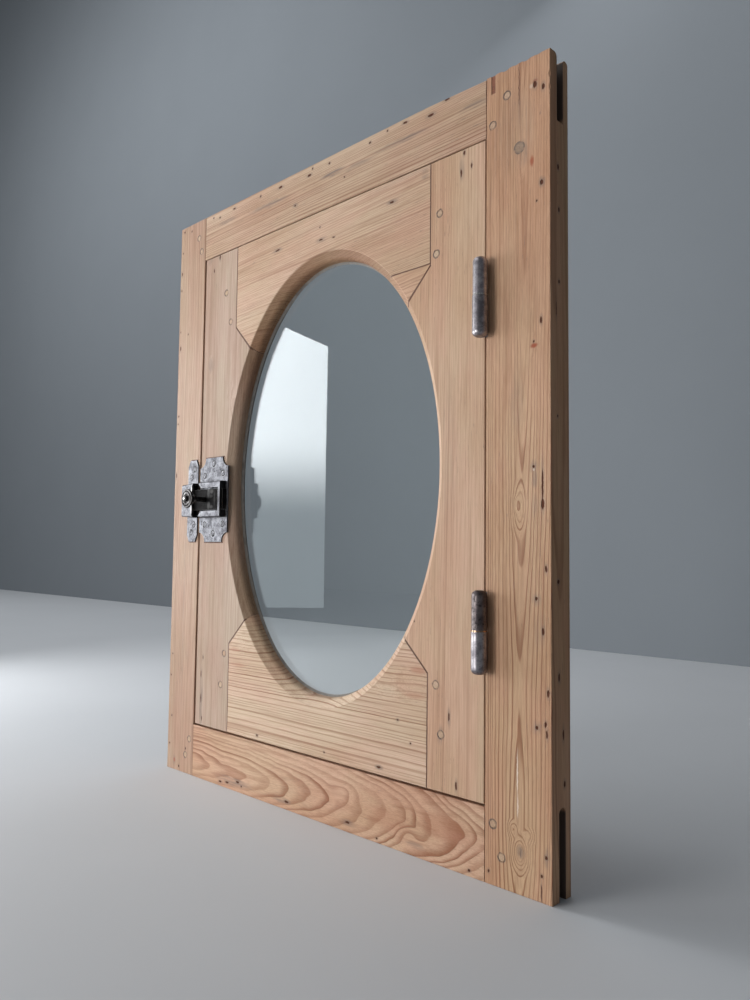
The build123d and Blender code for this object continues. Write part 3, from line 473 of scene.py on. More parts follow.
# Nail holes in the frame's outer edge: through the wood, up, radius and how many times longer
EDGE_HOLES = (
    (-2, 703, 1.3, 2.2), (-1, 660, 1.2, 2.0), (-1, 588, 1.3, 1.4), (-6, 560, 0.6, 12.0), (-4, 296, 1.7, 1.2),
    (-3, 206, 1.5, 2.6), (4, 152, 1.2, 4.0), (6, 106, 1.6, 1.8), (-4, 455, 0.9, 1.5),
)

# Grey smears and stains: across, up, radii, strength
SMEARS = {
    "frame_top_rail": (
        (-112, 794, 50, 4, 0.75), (16, 796, 26, 5, 0.95), (60, 792, 34, 4, 0.5), (132, 796, 48, 4, 0.85),
        (238, 797, 22, 4, 0.6), (-208, 799, 26, 4, 0.5), (-56, 776, 8, 4, 0.6),
    ),
    "frame_latch_stile": ((-311, 14, 5, 9, 0.5), (-297, 300, 2.2, 260, 0.32)),
    "sash_latch_stile": (
        (-246, 110, 5, 42, 0.7), (-250, 752, 6, 9, 0.5), (-225, 751, 4, 10, 0.4), (-242, 592, 9, 13, 0.55),
    ),
    "frame_bottom_rail": (
        (162, 12, 16, 4, 0.5), (-165, 12, 44, 7, 0.75), (-60, 10, 20, 5, 0.6), (60, 10, 16, 5, 0.5),
    ),
    "frame_hinge_stile": (
        (296, 40, 5.5, 6.5, 0.9), (298, 724, 9, 18, 0.55), (288, 752, 26, 52, 0.22), (311, 406, 7, 9, 0.5),
        (312, 395, 5, 11, 0.5), (314, 279, 6, 8, 0.6), (314, 159, 7, 8, 0.55), (325, 42, 4, 12, 0.5),
        (321, 686, 5, 8, 0.5), (312, 369, 5, 14, 0.25), (318, 250, 9, 20, 0.25), (292, 471, 10, 40, 0.25),
    ),
    "sash_top_rail": (
        (-91, 725, 16, 4, 0.5), (-4, 716, 14, 4, 0.5), (119, 727, 12, 4, 0.5), (170, 745, 6, 10, 0.4),
    ),
    "sash_hinge_stile": (
        (197, 133, 5, 12, 0.6), (222, 733, 5, 16, 0.4), (208, 153, 3, 14, 0.4), (205, 430, 16, 90, 0.15),
    ),
    "sash_bottom_rail": ((108, 83, 8, 3, 0.5), (136, 139, 4, 3, 0.4), (-114, 81, 5, 3, 0.4)),
}

# Red pitch in small knots, and pale open cracks: across, up, radii, strength
PITCH = {
    "frame_hinge_stile": (
        (311.8, 525, 5.0, 2.8, 1.0), (309.6, 711, 2.8, 6.5, 0.85), (313.4, 792, 3.2, 2.4, 0.8),
    ),
    "frame_latch_stile": ((-311, 14, 3, 4, 0.7),),
    "sash_bottom_rail": (
        (-168, 188, 15, 4, 0.30), (-160, 168, 22, 3, 0.28), (165, 196, 14, 5, 0.34), (160, 168, 20, 4, 0.26),
    ),
    "frame_bottom_rail": ((205, 40, 40, 16, 0.22), (120, 30, 40, 14, 0.16)),
}
CRACKS = {
    "frame_hinge_stile": (
        (292.4, 112, 0.8, 26, 1.0), (292.8, 82, 0.9, 13, 0.8), (311.3, 403.5, 1.0, 1.8, 1.0),
        (309, 788, 2.2, 3, 0.4),
    ),
}

# The oval's outline on the face: centre and reach, across and up
OVAL_CENTRE = (-0.5, 416.3)
OVAL_REACH = (197.0, 282.5)


def sash_joints():
    """Open lines of the sash's joints on the face: from and to, across and up."""
    found = {"head block": ((118.0, 639.6), (178.3, 639.6))}
    for side, joint, inward in (("left", -181.5, -146.0), ("right", 178.3, 143.0)):
        found["foot " + side] = ((joint, 76.0), (joint, 194.7))
        found["low " + side] = ((joint, 194.7), (inward, 229.5))
        found["high " + side] = ((joint, 637.0), (inward, 600.0))
        found["head " + side] = ((joint, 637.0), (joint, 752.0))
    return found


JOINT_LINES = sash_joints()
JOINED = {
    "sash_latch_stile": ("low left", "high left", "foot left", "head left"),
    "sash_hinge_stile": ("low right", "high right", "foot right", "head right"),
    "sash_rail_block": ("high right", "head block"),
    "sash_top_rail": ("high left", "head block", "head left", "head right"),
    "sash_bottom_rail": ("low left", "low right", "foot left", "foot right"),
}

# Joints that are thinner than the others, and how much farther off they count as
THIN_JOINTS = ("foot", "head")
THINNER = 1.4

# Painted contact shadow on the face round the keeper, and above and below the latch's plate: lines from and
# to, across and up
KEEPER_RIM = (
    (-269.7, 334.4), (-285.8, 334.4), (-291.3, 344.2), (-291.3, 445.2), (-285.8, 455.0), (-269.7, 455.0),
)
PLATE_SHADOW_LINES = {
    "frame_latch_stile": tuple(zip(KEEPER_RIM, KEEPER_RIM[1:])),
    "sash_latch_stile": (((-247.0, 455.5), (-202.0, 455.5)), ((-247.0, 333.9), (-202.0, 333.9))),
}

# Open mortises, with painted shade inside: nearest and farthest depth, top of the lower one, foot of the
# upper one
MORTISES = {"frame_hinge_stile": (-3.75, 7.25, 84.0, 751.0)}

# Radius of the open line round a peg's end, and the ends: across, up and, for the plug, its own radius
PEG_LINE = 4.1
PEG_ENDS = {
    "frame_hinge_stile": ((262.0, 765.2), (279.9, 790.5), (263.8, 58.4), (274.1, 29.1), (294.8, 730.0, 5.4)),
    "frame_latch_stile": ((-274.0, 771.1), (-281.5, 793.0), (-273.5, 50.0), (-282.5, 26.0)),
    "sash_hinge_stile": ((191.3, 692.7), (186.8, 648.5), (189.7, 183.7), (197.2, 133.2)),
    "sash_latch_stile": ((-207.2, 692.6), (-194.7, 648.0), (-192.2, 180.1), (-199.4, 136.6)),
}

# Screws of the latch and of the keeper: across and up, their heads' radius, and the depth behind which their
# slots and feet get painted shade
LATCH_SCREWS = (
    (-225.2, 446.4), (-246.7, 430.0), (-201.9, 431.7), (-245.3, 359.5), (-200.6, 359.8), (-223.6, 346.6),
)
KEEPER_SCREWS = ((-273.0, 441.2), (-280.7, 429.8), (-273.1, 360.0), (-279.7, 348.7))
HEAD_RADIUS = 4.1
SLOT_SHADE_DEPTH = -18.15

# Painted reflection on the bolt's face, and painted highlights on the knob and on the keeper's lip: across,
# up, radii, strength
BOLT_PAINTED_REFLECTION = (
    (-227, 404, 4, 9, 0.24), (-220, 406, 6, 4, 0.17), (-222, 399, 7, 3, 0.13), (-226, 386, 4, 7, 0.20),
    (-221, 384, 6, 3, 0.15), (-212, 395, 2, 12, 0.08),
)
KNOB_PAINTED_HIGHLIGHTS = ((-235.5, 394.7, 3.6, 3.6, 0.85), (-240.5, 401.5, 3.0, 4.5, 0.30), (-229.0, 389.0, 2.5, 5.0, 0.25))
KEEPER_PAINTED_HIGHLIGHTS = ((-264.6, 405.0, 1.5, 13.0, 0.80), (-264.6, 384.0, 1.5, 13.0, 0.70))

# Colours that no setting changes
CRACK = (0.78, 0.66, 0.55, 1.0)
# Cast of the painted shade on the reveal's upper left
PAINTED_SHADE_CAST = (0.54, 0.45, 0.35, 1.0)
PUTTY_LUMPS = (0.20, 0.175, 0.15, 1.0)
PUTTY_GRIME = (0.09, 0.075, 0.065, 1.0)
RUBBED_BRASS = (0.85, 0.52, 0.28)
WHITE = (1.0, 1.0, 1.0)

# Pegs, plug and wedge: pale and dark part of their rings, seed, and the pieces
PEG_WOODS = {
    "peg_wood": ((0.60, 0.43, 0.30, 1.0), (0.34, 0.22, 0.145, 1.0), 0.7, ("frame_pegs", "sash_pegs")),
    "plug_wood": ((0.40, 0.285, 0.205, 1.0), (0.24, 0.155, 0.105, 1.0), 3.2, ("stile_plug",)),
    "red_wood": ((0.30, 0.115, 0.060, 1.0), (0.13, 0.045, 0.028, 1.0), 5.1, ("joint_wedge",)),
}

# Stage, in metres: the floor and the backdrop, and the lower and upper corners of the panel the pane mirrors
STAGE_WIDE, STAGE_NEAR, STAGE_FAR, STAGE_HIGH = 12.0, -4.0, 1.8, 9.0
SKY_CORNERS = ((-1.91, -1.14, 0.1), (-1.655, -1.475, 0.1), (-1.91, -1.14, 1.33), (-1.655, -1.475, 1.16))
SKY_DIM, SKY_BRIGHT = (0.16, 0.18, 0.19, 1.0), (0.92, 0.97, 1.0, 1.0)
ROOM_LIGHT = (0.80, 0.86, 0.92, 1.0)

# Lights: place, target, width and height in metres, share of the key light's power, colour
LIGHTS = {
    "key_light": ((-1.60, -0.50, 0.32), (0.0, 0.0, 0.36), (0.75, 1.3), 1.0, (0.96, 0.98, 1.0)),
    "front_light": ((-0.8, -2.1, 0.40), (0.0, 0.0, 0.25), (0.9, 0.8), 0.95, WHITE),
    "top_light": ((-0.5, -1.5, 2.3), (0.0, 0.0, 0.42), (1.2, 1.0), 0.35, WHITE),
    "back_light": ((-0.6, 1.4, 2.7), (0.0, 0.0, 0.40), (1.4, 0.8), 0.35, (0.95, 0.97, 1.0)),
    "wall_light": ((-3.6, -0.6, 3.6), (-4.2, 1.8, 1.0), (4.0, 1.2), 3.4, (0.94, 0.97, 1.0)),
}

# Camera, as solved from the photo's corners: place in metres, tilt, turn and roll in degrees
CAMERA_PLACE = (0.7404, -0.67225, 0.3214)
CAMERA_TILT, CAMERA_TURN, CAMERA_ROLL = 93.78, 44.43, 0.67
SENSOR_WIDTH = 36.0


# Materials

def new_material(name):
    """A material, its empty tree and the Object coordinates in it."""
    made = bpy.data.materials.new(name)
    made.use_nodes = True
    tree = made.node_tree
    tree.nodes.clear()
    return made, tree, node(tree, "ShaderNodeTexCoord").outputs["Object"]


def finished(made, inputs, height=None, distance=0.0, strength=0.6):
    """The material with its shader, the shader's inputs, and relief from a height."""
    tree = made.node_tree
    if height is not None:
        bump = node(tree, "ShaderNodeBump", {"Height": height, "Distance": distance, "Strength": strength})
        inputs = {**inputs, "Normal": bump.outputs[0]}
    shader = node(tree, "ShaderNodeBsdfPrincipled", inputs)
    node(tree, "ShaderNodeOutputMaterial", {"Surface": shader.outputs[0]})
    return made


def on_face(across, up, wide, high, deep=6.0):
    """A spot on the front face with its radii."""
    return (across, FRONT, up), (wide, deep, high)


def nearest(tree, place, spots):
    """Distance to the nearest of the spots, each counted in its own radii."""
    distances = []
    for centre, radii in spots:
        away = arrow(tree, "SUBTRACT", place, tuple(c * MM for c in centre))
        away = arrow(tree, "MULTIPLY", away, tuple(1.0 / (radius * MM) for radius in radii))
        distances.append(arrow(tree, "LENGTH", away, result="Value"))
    return combined(tree, "MINIMUM", distances)


def soft_spots(tree, place, spots, near, far, deep):
    """Soft spots, each with its own strength, which fades between two shares of its radii."""
    for across, up, wide, high, strength in spots:
        away = nearest(tree, place, (on_face(across, up, wide, high, deep),))
        yield spread(tree, away, near, far, strength, 0.0)


def strongest(tree, place, spots, deep=6.0):
    """The strongest of the soft spots."""
    return combined(tree, "MAXIMUM", soft_spots(tree, place, spots, 0.35, 1.15, deep))


def rough_place(tree, place, scale, distance):
    """The place shaken a little, so that round marks come out ragged."""
    shake = arrow(tree, "SUBTRACT", noise(tree, place, scale, 2.0, result="Color"), (0.5, 0.5, 0.5))
    return arrow(tree, "ADD", place, scaled(tree, shake, distance))


def painted_shade_left(tree, place):
    """Painted shade on the reveal within the oval: most at the upper left, and less halfway up."""
    across, up = OVAL_CENTRE
    wide, high = OVAL_REACH
    away = arrow(tree, "SUBTRACT", stretched(tree, place, 1, 0, 1), (across * MM, 0.0, up * MM))
    reach = stretched(tree, away, 1.0 / (wide * MM), 0.0, 1.0 / (high * MM))
    within = spread(tree, arrow(tree, "LENGTH", reach, result="Value"), 1.0, 0.994)
    upper_left = arrow(tree, "DOT_PRODUCT", away, (-0.85, 0.0, 0.53), result="Value")
    left = spread(tree, upper_left, -0.13, 0.10, 0.0, 0.95)
    height = calc(tree, "ABSOLUTE", axis_of(tree, away, "Z"))
    return product(tree, within, left, spread(tree, height, 0.05, 0.19, 0.35, 1.0))


def line_away(tree, place, start, end):
    """Distance from the sheet that runs straight back through the wood from a line on the face."""
    first, last = (Vector((x * MM, 0.0, z * MM)) for x, z in (start, end))
    run = last - first
    flat = arrow(tree, "SUBTRACT", stretched(tree, place, 1, 0, 1), tuple(first))
    share = arrow(tree, "DOT_PRODUCT", flat, tuple(run / run.length_squared), result="Value")
    along = scaled(tree, tuple(run), calc(tree, "ADD", share, 0.0, clamp=True))
    return arrow(tree, "DISTANCE", flat, along, result="Value")


def joint_away(tree, place, piece):
    """Distance to the piece's nearest open joint, or on its face to its nearest line of painted contact
    shadow.
    """
    shaken = rough_place(tree, place, 90.0, 0.0010)
    behind = calc(tree, "SUBTRACT", axis_of(tree, place, "Y"), (FRONT + 2.0) * MM)
    behind = calc(tree, "MAXIMUM", behind, 0.0)
    # Lines of painted contact shadow round the plates
    dirt = PLATE_SHADOW_LINES.get(piece, ())
    distances = [calc(tree, "ADD", line_away(tree, shaken, *line), behind) for line in dirt]
    for name in JOINED.get(piece, ()):
        away = line_away(tree, shaken, *JOINT_LINES[name])
        distances.append(product(tree, away, THINNER) if name.startswith(THIN_JOINTS) else away)
    return combined(tree, "MINIMUM", distances)


def painted_mortise_shade(tree, place, near, far, low, high):
    """How deep a place is inside the open mortises at a stile's ends, where shade is painted."""
    middle, half = (near + far) / 2.0 * MM, (far - near) / 2.0 * MM
    between = calc(tree, "ABSOLUTE", calc(tree, "SUBTRACT", axis_of(tree, place, "Y"), middle))
    inside = spread(tree, between, half + 0.0006, half + 0.0001)
    height = axis_of(tree, place, "Z")
    ends = (spread(tree, height, end * MM, (end + run) * MM) for end, run in ((low, -6.0), (high, 6.0)))
    return product(tree, inside, combined(tree, "MAXIMUM", ends), 0.88)


def peg_rims(tree, place, ends):
    """Broken rings of dirt round the pegs' ends."""
    spots = []
    for x, z, *own in ends:
        radius = own[0] if own else PEG_LINE
        spots.append(on_face(x, z, radius, radius))
    away = nearest(tree, rough_place(tree, place, 150.0, 0.0012), spots)
    broken = spread(tree, noise(tree, place, 210.0, 1.0), 0.34, 0.52, 0.25, 0.9)
    return product(tree, spread(tree, away, 0.90, 1.0), spread(tree, away, 1.12, 1.34, 1.0, 0.0), broken)


def nail_spots(piece, upright):
    """The board's nail holes, longer along the grain, and for the hinge stile those in its outer edge."""
    spots = []
    for x, z, radius, *stretch in NAIL_HOLES[piece]:
        longer = radius * (stretch[0] if stretch else 1.25)
        spots.append(on_face(x, z, *((radius, longer) if upright else (longer, radius))))
    if piece == "frame_hinge_stile":
        spots += [((OUTER_EDGE, y, z), (6.0, radius, radius * longer)) for y, z, radius, longer in EDGE_HOLES]
    return spots


def log_place(tree, place, board, swell=None):
    """The place in the log's own frame: across and into the wood from the pith, and along the grain."""
    parts = node(tree, "ShaderNodeSeparateXYZ", {"Vector": place}).outputs
    across, depth, along = (parts[axis] for axis in AXES[board.grain])
    across = calc(tree, "MULTIPLY_ADD", along, -board.lean[0], across)
    across = calc(tree, "SUBTRACT", across, board.pith[0] * MM)
    slope = calc(tree, "MULTIPLY_ADD", along, -board.bow, -board.lean[1])
    depth = calc(tree, "MULTIPLY_ADD", along, slope, depth)
    depth = calc(tree, "SUBTRACT", depth, board.pith[1] * MM)
    if swell is not None:
        depth = calc(tree, "MULTIPLY_ADD", swell, MM, depth)
    return node(tree, "ShaderNodeCombineXYZ", {"X": across, "Y": depth, "Z": along}).outputs[0]


def board_grain(tree, place, piece, board, pine):
    """The board's growth rings, which swell round its knots."""
    swell = None
    if piece in SWELLS:
        swell = combined(tree, "ADD", soft_spots(tree, place, SWELLS[piece], 0.0, 1.0, 60.0))
    strength = board.line
    if board.fade:
        near, far, share = board.fade
        along = axis_of(tree, place, board.grain)
        strength = spread(tree, along, near * MM, far * MM, board.line, board.line * share)
    return use_group(
        tree, "Old pine", Vector=log_place(tree, place, board, swell), Ring_Spacing=board.spacing * MM,
        Wobble=pine.wobble * board.wobble, Swirl=board.swirl * MM, Line_Start=board.start,
        Line_Strength=strength, Streaks=pine.streaks * board.streaks, Seed=board.seed,
        Earlywood=board.toned(pine.earlywood), Latewood=board.toned(pine.latewood), Stain=rgba(pine.stain),
    )


def pine_material(piece, board):
    """Sawn and weathered pine for one board, with its own nail holes, knots and stains."""
    made, tree, place = new_material("pine_" + piece)
    pine = bpy.context.scene.window_pine
    upright = board.grain == "Z"
    grain = board_grain(tree, place, piece, board, pine)
    wood, matt, relief = grain["Color"], grain["Roughness"], grain["Height"]
    ragged = rough_place(tree, place, 240.0, 0.0016)
    if piece in SMEARS:
        drawn = stretched(tree, place, *((420, 60, 20) if upright else (20, 60, 420)))
        threads = spread(tree, noise(tree, drawn, 1.0, 3.0, 0.6), 0.36, 0.60, 0.25, 1.0)
        smear = strongest(tree, rough_place(tree, place, 60.0, 0.006), SMEARS[piece])
        wood = tint(tree, product(tree, smear, threads), wood, rgba(pine.smudge))
    for table, shade in ((PITCH, rgba(pine.pitch)), (CRACKS, CRACK)):
        if piece in table:
            wood = tint(tree, strongest(tree, ragged, table[piece]), wood, shade)
    # Painted shade on the sash's reveal, darkest at its upper left
    if piece.startswith("sash"):
        wood = tint(tree, painted_shade_left(tree, place), wood, shaded(tree, wood, PAINTED_SHADE_CAST))
    # Dark open joints, and painted contact shadow round the keeper and the latch plate
    if piece in JOINED or piece in PLATE_SHADOW_LINES:
        line = spread(tree, joint_away(tree, place, piece), 0.0005, 0.0016, 0.94, 0.0)
        wood = tint(tree, line, wood, rgba(pine.hole))
    # Painted shade inside the open mortises
    if piece in MORTISES:
        wood = tint(tree, painted_mortise_shade(tree, place, *MORTISES[piece]), wood, rgba(pine.grime_and_shade))
    if piece in PEG_ENDS:
        wood = tint(tree, peg_rims(tree, place, PEG_ENDS[piece]), wood, rgba(pine.peg_rim))
    if piece in NAIL_HOLES:
        away = nearest(tree, ragged, nail_spots(piece, upright))
        hole = spread(tree, away, 1.20, 0.75)
        wood = tint(tree, spread(tree, away, 2.8, 0.9, 0.0, 0.40), wood, rgba(pine.smudge))
        wood = tint(tree, hole, wood, rgba(pine.hole))
        relief = calc(tree, "SUBTRACT", relief, product(tree, hole, 4.0))
        matt = calc(tree, "MAXIMUM", matt, product(tree, hole, 0.9))
    wood = use_group(tree, "Handled edges", Color=wood, Vector=place, Dirt=rgba(pine.stain))["Color"]
    finish = {"Base Color": wood, "Roughness": matt, "Specular IOR Level": 0.32}
    return finished(made, finish, relief, 0.0005, 0.75)


def peg_material(name, light, dark, seed):
    """End grain of a peg that runs through the wood."""
    made, tree, place = new_material(name)
    pine = bpy.context.scene.window_pine
    grain = use_group(
        tree, "Old pine", Vector=log_place(tree, place, Board("Y", (9, 4))), Ring_Spacing=0.0013,
        Wobble=0.0008, Swirl=0.0002, Line_Start=0.4, Line_Strength=0.6, Streaks=0.25, Seed=seed,
        Earlywood=light, Latewood=dark, Stain=rgba(pine.stain),
    )
    rim = rgba(pine.peg_rim)
    wood = use_group(tree, "Handled edges", Color=grain["Color"], Vector=place, Dirt=rim)["Color"]
    return finished(made, {"Base Color": wood, "Roughness": grain["Roughness"]}, grain["Height"], 0.0004)


def metal_material(
    name, base, scale=1.0, spots=0.4, gloss=0.35, wear=1.0, worn=None, side_shade=0.0, screws=(), slots=None,
    bright=(),
):
    """Worn metal of one colour, with a dark ring round its screws, painted shade in their slots, and painted
    highlights and reflections on the spots given.
    """
    made, tree, place = new_material(name)
    metal = bpy.context.scene.window_metal
    oxide = rgba(metal.oxide)
    skin = use_group(
        tree, "Worn metal", Vector=place, Scale=scale, Base=rgba(base), Oxide=oxide,
        Worn=rgba(worn or metal.worn), Spots=spots, Wear=metal.wear * wear, Gloss=gloss, Dark_Sides=side_shade,
    )
    shade = skin["Color"]
    if screws:
        heads = [on_face(x, z, HEAD_RADIUS, HEAD_RADIUS, 40.0) for x, z in screws]
        away = nearest(tree, rough_place(tree, place, 300.0, 0.0005), heads)
        ring = product(tree, spread(tree, away, 0.74, 0.86), spread(tree, away, 1.22, 1.06))
        shade = tint(tree, ring, shade, oxide)
    # Painted shade on the floors of the slots and the feet of the heads
    if slots is not None:
        inside = spread(tree, axis_of(tree, place, "Y"), slots * MM, (slots + 0.2) * MM)
        shade = tint(tree, inside, shade, oxide)
    # Painted highlights and painted reflection on the spots given
    if bright:
        painted_shine = strongest(tree, rough_place(tree, place, 200.0, 0.0016), bright, 400.0)
        shade = tint(tree, painted_shine, shade, rgba(metal.worn))
    finish = {"Base Color": shade, "Roughness": skin["Roughness"], "Metallic": 0.92}
    return finished(made, finish, skin["Height"], 0.00018, 0.8)


def screw_material(name, screws):
    """Dark iron of slotted screws, with painted shade in their slots and a dark ring round their heads."""
    plate = bpy.context.scene.window_metal.plate
    return metal_material(
        name, plate, scale=1.5, spots=0.6, gloss=0.32, wear=0.5, screws=screws, slots=SLOT_SHADE_DEPTH
    )


def glass_material():
    """Old sheet glass with slow waves and a faint film."""
    made, tree, place = new_material("old_glass")
    settings = bpy.context.scene.window_glazing
    film = spread(tree, noise(tree, place, 14.0, 4.0, 0.65), 0.50, 0.85, 0.0, 0.012)
    clear = {"Base Color": rgba(settings.glass), "Transmission Weight": 1.0, "IOR": 1.5, "Roughness": film}
    waves = noise(tree, stretched(tree, place, 5.0, 5.0, 2.2), 1.0, 1.0)
    return finished(made, clear, waves, settings.ripple, 1.0)


def putty_material():
    """Lumpy putty with patches of grime."""
    made, tree, place = new_material("old_putty")
    lumps = noise(tree, place, 160.0, 4.0, 0.65)
    grime_and_shade = spread(tree, noise(tree, place, 40.0, 3.0, 0.6), 0.5, 0.75, 0.0, 0.6)
    putty = rgba(bpy.context.scene.window_glazing.putty)
    shade = tint(tree, spread(tree, lumps, 0.35, 0.7), putty, PUTTY_LUMPS)
    shade = tint(tree, grime_and_shade, shade, PUTTY_GRIME)
    matt = spread(tree, lumps, 0.3, 0.7, 0.55, 0.85)
    return finished(made, {"Base Color": shade, "Roughness": matt}, lumps, 0.0006)


def stage_material(name, shade):
    """Matt paint with a faint unevenness."""
    made, tree, place = new_material(name)
    paint = tint(tree, noise(tree, place, 3.0, 3.0), rgba(shade), rgba(0.94 * c for c in shade))
    return finished(made, {"Base Color": paint, "Roughness": 0.8, "Specular IOR Level": 0.2})


def sky_material(name, strength):
    """A glowing panel that is bright above and dim below."""
    made, tree, place = new_material(name)
    glow = tint(tree, spread(tree, axis_of(tree, place, "Z"), 0.45, 0.80), SKY_DIM, SKY_BRIGHT)
    black = (0.0, 0.0, 0.0, 1.0)
    return finished(made, {"Base Color": black, "Emission Strength": strength, "Emission Color": glow})


def dress(material, *pieces):
    """Gives CAD pieces a material."""
    for piece in pieces:
        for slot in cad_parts[piece].material_slots:
            slot.material = material


def dress_boards(start):
    """Dresses the boards whose names start with a word, each in its own pine."""
    for piece, board in BOARDS.items():
        if piece.startswith(start):
            dress(pine_material(piece, board), piece)


def sheet(name, corners, material):
    """A flat stage sheet from a plane primitive with its corners placed."""
    bpy.ops.object.select_all(action="DESELECT")
    bpy.ops.mesh.primitive_plane_add(size=1.0)
    made = bpy.context.object
    made.name = name
    for vertex, corner in zip(made.data.vertices, corners):
        vertex.co = corner
    made.data.materials.append(material)


def softbox(name, place, target, size, power, shade):
    """A rectangular area light aimed at a point."""
    lamp = bpy.data.lights.new(name, "AREA")
    lamp.shape = "RECTANGLE"
    lamp.size, lamp.size_y = size
    lamp.energy, lamp.color = power, shade
    made = bpy.data.objects.new(name, lamp)
    bpy.context.scene.collection.objects.link(made)
    made.location = place
    made.rotation_euler = (Vector(target) - Vector(place)).to_track_quat("-Z", "Y").to_euler()


def photo_camera(lens_length):
    """The camera at the photo's place."""
    lens = bpy.data.cameras.new("photo_camera")
    lens.lens, lens.sensor_width, lens.sensor_fit = lens_length, SENSOR_WIDTH, "AUTO"
    made = bpy.data.objects.new("photo_camera", lens)
    bpy.context.scene.collection.objects.link(made)
    tilt, turn, roll = (math.radians(angle) for angle in (CAMERA_TILT, CAMERA_TURN, CAMERA_ROLL))
    heading = Euler((tilt, 0.0, turn), "XYZ").to_matrix() @ Matrix.Rotation(roll, 3, "Z")
    made.matrix_world = Matrix.Translation(CAMERA_PLACE) @ heading.to_4x4()
    return made


# Operators, one for each group of pieces

class OVALWINDOW_OT_frame_wood(bpy.types.Operator):
    """Dresses the frame's stiles and rails in old pine"""

    bl_idname = "oval_window.frame_wood"
    bl_label = "Frame wood"

    def execute(self, context):
        dress_boards("frame")
        return {"FINISHED"}


class OVALWINDOW_OT_sash_wood(bpy.types.Operator):
    """Dresses the sash's stiles and rails in old pine"""

    bl_idname = "oval_window.sash_wood"
    bl_label = "Sash wood"

    def execute(self, context):
        dress_boards("sash")
        return {"FINISHED"}


class OVALWINDOW_OT_pegs(bpy.types.Operator):
    """Dresses the pegs, the plug and the reddish wedge"""

    bl_idname = "oval_window.pegs"
    bl_label = "Pegs and wedge"

    def execute(self, context):
        for name, (light, dark, seed, pieces) in PEG_WOODS.items():
            dress(peg_material(name, light, dark, seed), *pieces)
        return {"FINISHED"}


class OVALWINDOW_OT_glazing(bpy.types.Operator):
    """Dresses the pane, its putty and its sprigs"""

    bl_idname = "oval_window.glazing"
    bl_label = "Glass and putty"

    def execute(self, context):
        dress(glass_material(), "glass_pane")
        dress(putty_material(), "glazing_putty")
        dress(metal_material("sprig_iron", context.scene.window_metal.iron, spots=0.6), "glazing_sprigs")
        return {"FINISHED"}


class OVALWINDOW_OT_hinges(bpy.types.Operator):
    """Dresses the two barrel hinges, their pins, washers and screws"""

    bl_idname = "oval_window.hinges"
    bl_label = "Hinges"

    def execute(self, context):
        metal = context.scene.window_metal
        slate = metal_material("hinge_slate", metal.slate, scale=0.7, spots=0.25, gloss=0.20)
        dress(slate, "top_hinge_frame_leaf", "bottom_hinge_frame_leaf")
        black = metal_material("hinge_black", metal.black, scale=0.7, spots=0.60, gloss=0.26, wear=0.7)
        dress(black, "bottom_hinge_sash_leaf")
        pale = tuple(min(1.0, 1.45 * part) for part in metal.slate)
        dress(metal_material("hinge_pale", pale, scale=0.7, spots=0.20, gloss=0.17), "top_hinge_sash_leaf")
        pin = metal_material("pin_steel", metal.slate, spots=0.15, gloss=0.18)
        dress(pin, "top_hinge_pin", "bottom_hinge_pin", "frame_leaf_screws", "sash_leaf_screws")
        dress(metal_material("washer_steel", metal.worn, spots=0.1, gloss=0.15), "top_hinge_washer")
        brass = {"spots": 0.2, "gloss": 0.12, "wear": 0.5, "worn": RUBBED_BRASS}
        dress(metal_material("washer_brass", metal.brass, **brass), "bottom_hinge_washer")
        return {"FINISHED"}


class OVALWINDOW_OT_latch(bpy.types.Operator):
    """Dresses the latch's plate, case, bolt, knob, spring and screws"""

    bl_idname = "oval_window.latch"
    bl_label = "Latch"

    def execute(self, context):
        metal = context.scene.window_metal
        # Painted shade on the side faces of the plate and of the case
        plate = {"spots": 0.55, "gloss": 0.36, "side_shade": 0.75, "screws": LATCH_SCREWS}
        dress(metal_material("latch_plate_steel", metal.plate, **plate), "latch_plate")
        case = metal_material("latch_case_iron", metal.plate, spots=0.45, gloss=0.30, wear=0.6, side_shade=0.85)
        dress(case, "latch_case")
        # The bolt's very dark base and its bright patches paint a reflection on its face
        dark = tuple(0.28 * part for part in metal.iron)
        bolt = metal_material("latch_bolt_iron", dark, spots=0.50, gloss=0.66, wear=0.6, bright=BOLT_PAINTED_REFLECTION)
        dress(bolt, "latch_bolt")
        # Painted highlights on the knob's nub and crests, and painted shade on its sloping sides
        knob = {"scale": 1.2, "spots": 0.40, "gloss": 0.16, "wear": 0.9, "side_shade": 0.8, "bright": KNOB_PAINTED_HIGHLIGHTS}
        dress(metal_material("knob_iron", metal.iron, **knob), "latch_knob")
        dress(screw_material("screw_iron", LATCH_SCREWS), "latch_screws")
        dress(metal_material("spring_steel", metal.slate, scale=1.5, spots=0.3, gloss=0.28), "bolt_spring")
        return {"FINISHED"}


class OVALWINDOW_OT_keeper(bpy.types.Operator):
    """Dresses the keeper and its screws"""

    bl_idname = "oval_window.keeper"
    bl_label = "Keeper"

    def execute(self, context):
        # Painted highlights on the keeper's lip, and painted shade on its sides
        plate = {"scale": 1.1, "spots": 0.5, "gloss": 0.36, "side_shade": 0.6}
        keeper = metal_material(
            "keeper_steel", context.scene.window_metal.plate, screws=KEEPER_SCREWS, bright=KEEPER_PAINTED_HIGHLIGHTS, **plate
        )
        dress(keeper, "keeper")
        dress(screw_material("keeper_screw_iron", KEEPER_SCREWS), "keeper_screws")
        return {"FINISHED"}


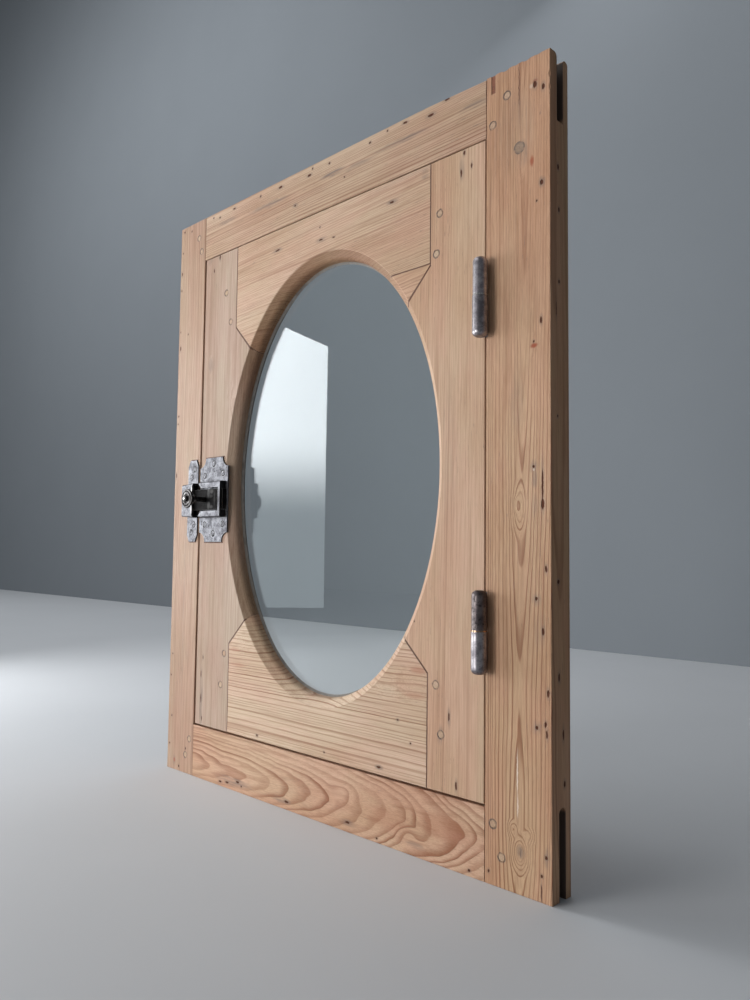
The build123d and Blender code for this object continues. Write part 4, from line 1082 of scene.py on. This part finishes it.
class OVALWINDOW_OT_stage(bpy.types.Operator):
    """Builds the floor, the backdrop, the lights and the camera"""

    bl_idname = "oval_window.stage"
    bl_label = "Studio"

    def execute(self, context):
        scene = context.scene
        settings = scene.window_stage
        ground = [(x, y, 0.0) for y in (STAGE_NEAR, STAGE_FAR) for x in (-STAGE_WIDE, STAGE_WIDE)]
        wall = [(x, STAGE_FAR, z) for z in (0.0, STAGE_HIGH) for x in (-STAGE_WIDE, STAGE_WIDE)]
        sheet("floor", ground, stage_material("floor_paint", settings.floor))
        sheet("backdrop", wall, stage_material("backdrop_paint", settings.backdrop))
        for name, (place, target, size, share, shade) in LIGHTS.items():
            softbox(name, place, target, size, settings.key * share, shade)
        sheet("sky_panel", SKY_CORNERS, sky_material("sky_panel_glow", settings.sky))
        world = bpy.data.worlds.new("soft_room")
        world.use_nodes = True
        backdrop = world.node_tree.nodes["Background"]
        backdrop.inputs["Color"].default_value = ROOM_LIGHT
        backdrop.inputs["Strength"].default_value = settings.fill
        scene.world = world
        scene.camera = photo_camera(settings.lens)
        scene.view_settings.view_transform = "Standard"
        return {"FINISHED"}


OPERATORS = (
    OVALWINDOW_OT_frame_wood,
    OVALWINDOW_OT_sash_wood,
    OVALWINDOW_OT_pegs,
    OVALWINDOW_OT_glazing,
    OVALWINDOW_OT_hinges,
    OVALWINDOW_OT_latch,
    OVALWINDOW_OT_keeper,
    OVALWINDOW_OT_stage,
)


class OVALWINDOW_PT_sidebar(bpy.types.Panel):
    """Lists the window's groups of pieces and their settings"""

    bl_label = "Oval window"
    bl_idname = "OVALWINDOW_PT_sidebar"
    bl_space_type = "VIEW_3D"
    bl_region_type = "UI"
    bl_category = "Oval window"

    def draw(self, context):
        for made in OPERATORS:
            self.layout.operator(made.bl_idname)
        for name in SETTINGS:
            box = self.layout.box()
            group = getattr(context.scene, name)
            for setting in group.bl_rna.properties:
                if not setting.is_readonly and setting.identifier != "name":
                    box.prop(group, setting.identifier)


SETTINGS = {
    "window_pine": PineSettings,
    "window_metal": MetalSettings,
    "window_glazing": GlazingSettings,
    "window_stage": StageSettings,
}


def register():
    """Registers the settings, the operators and the panel."""
    for name, group in SETTINGS.items():
        bpy.utils.register_class(group)
        setattr(bpy.types.Scene, name, PointerProperty(type=group))
    for made in (*OPERATORS, OVALWINDOW_PT_sidebar):
        bpy.utils.register_class(made)


def unregister():
    """Takes them away again."""
    for made in reversed((*OPERATORS, OVALWINDOW_PT_sidebar)):
        bpy.utils.unregister_class(made)
    for name, group in SETTINGS.items():
        delattr(bpy.types.Scene, name)
        bpy.utils.unregister_class(group)


def main():
    """Dresses the window and builds its studio."""
    register()
    for made in OPERATORS:
        getattr(bpy.ops.oval_window, made.bl_idname.partition(".")[2])()


if __name__ == "__main__":
    main()
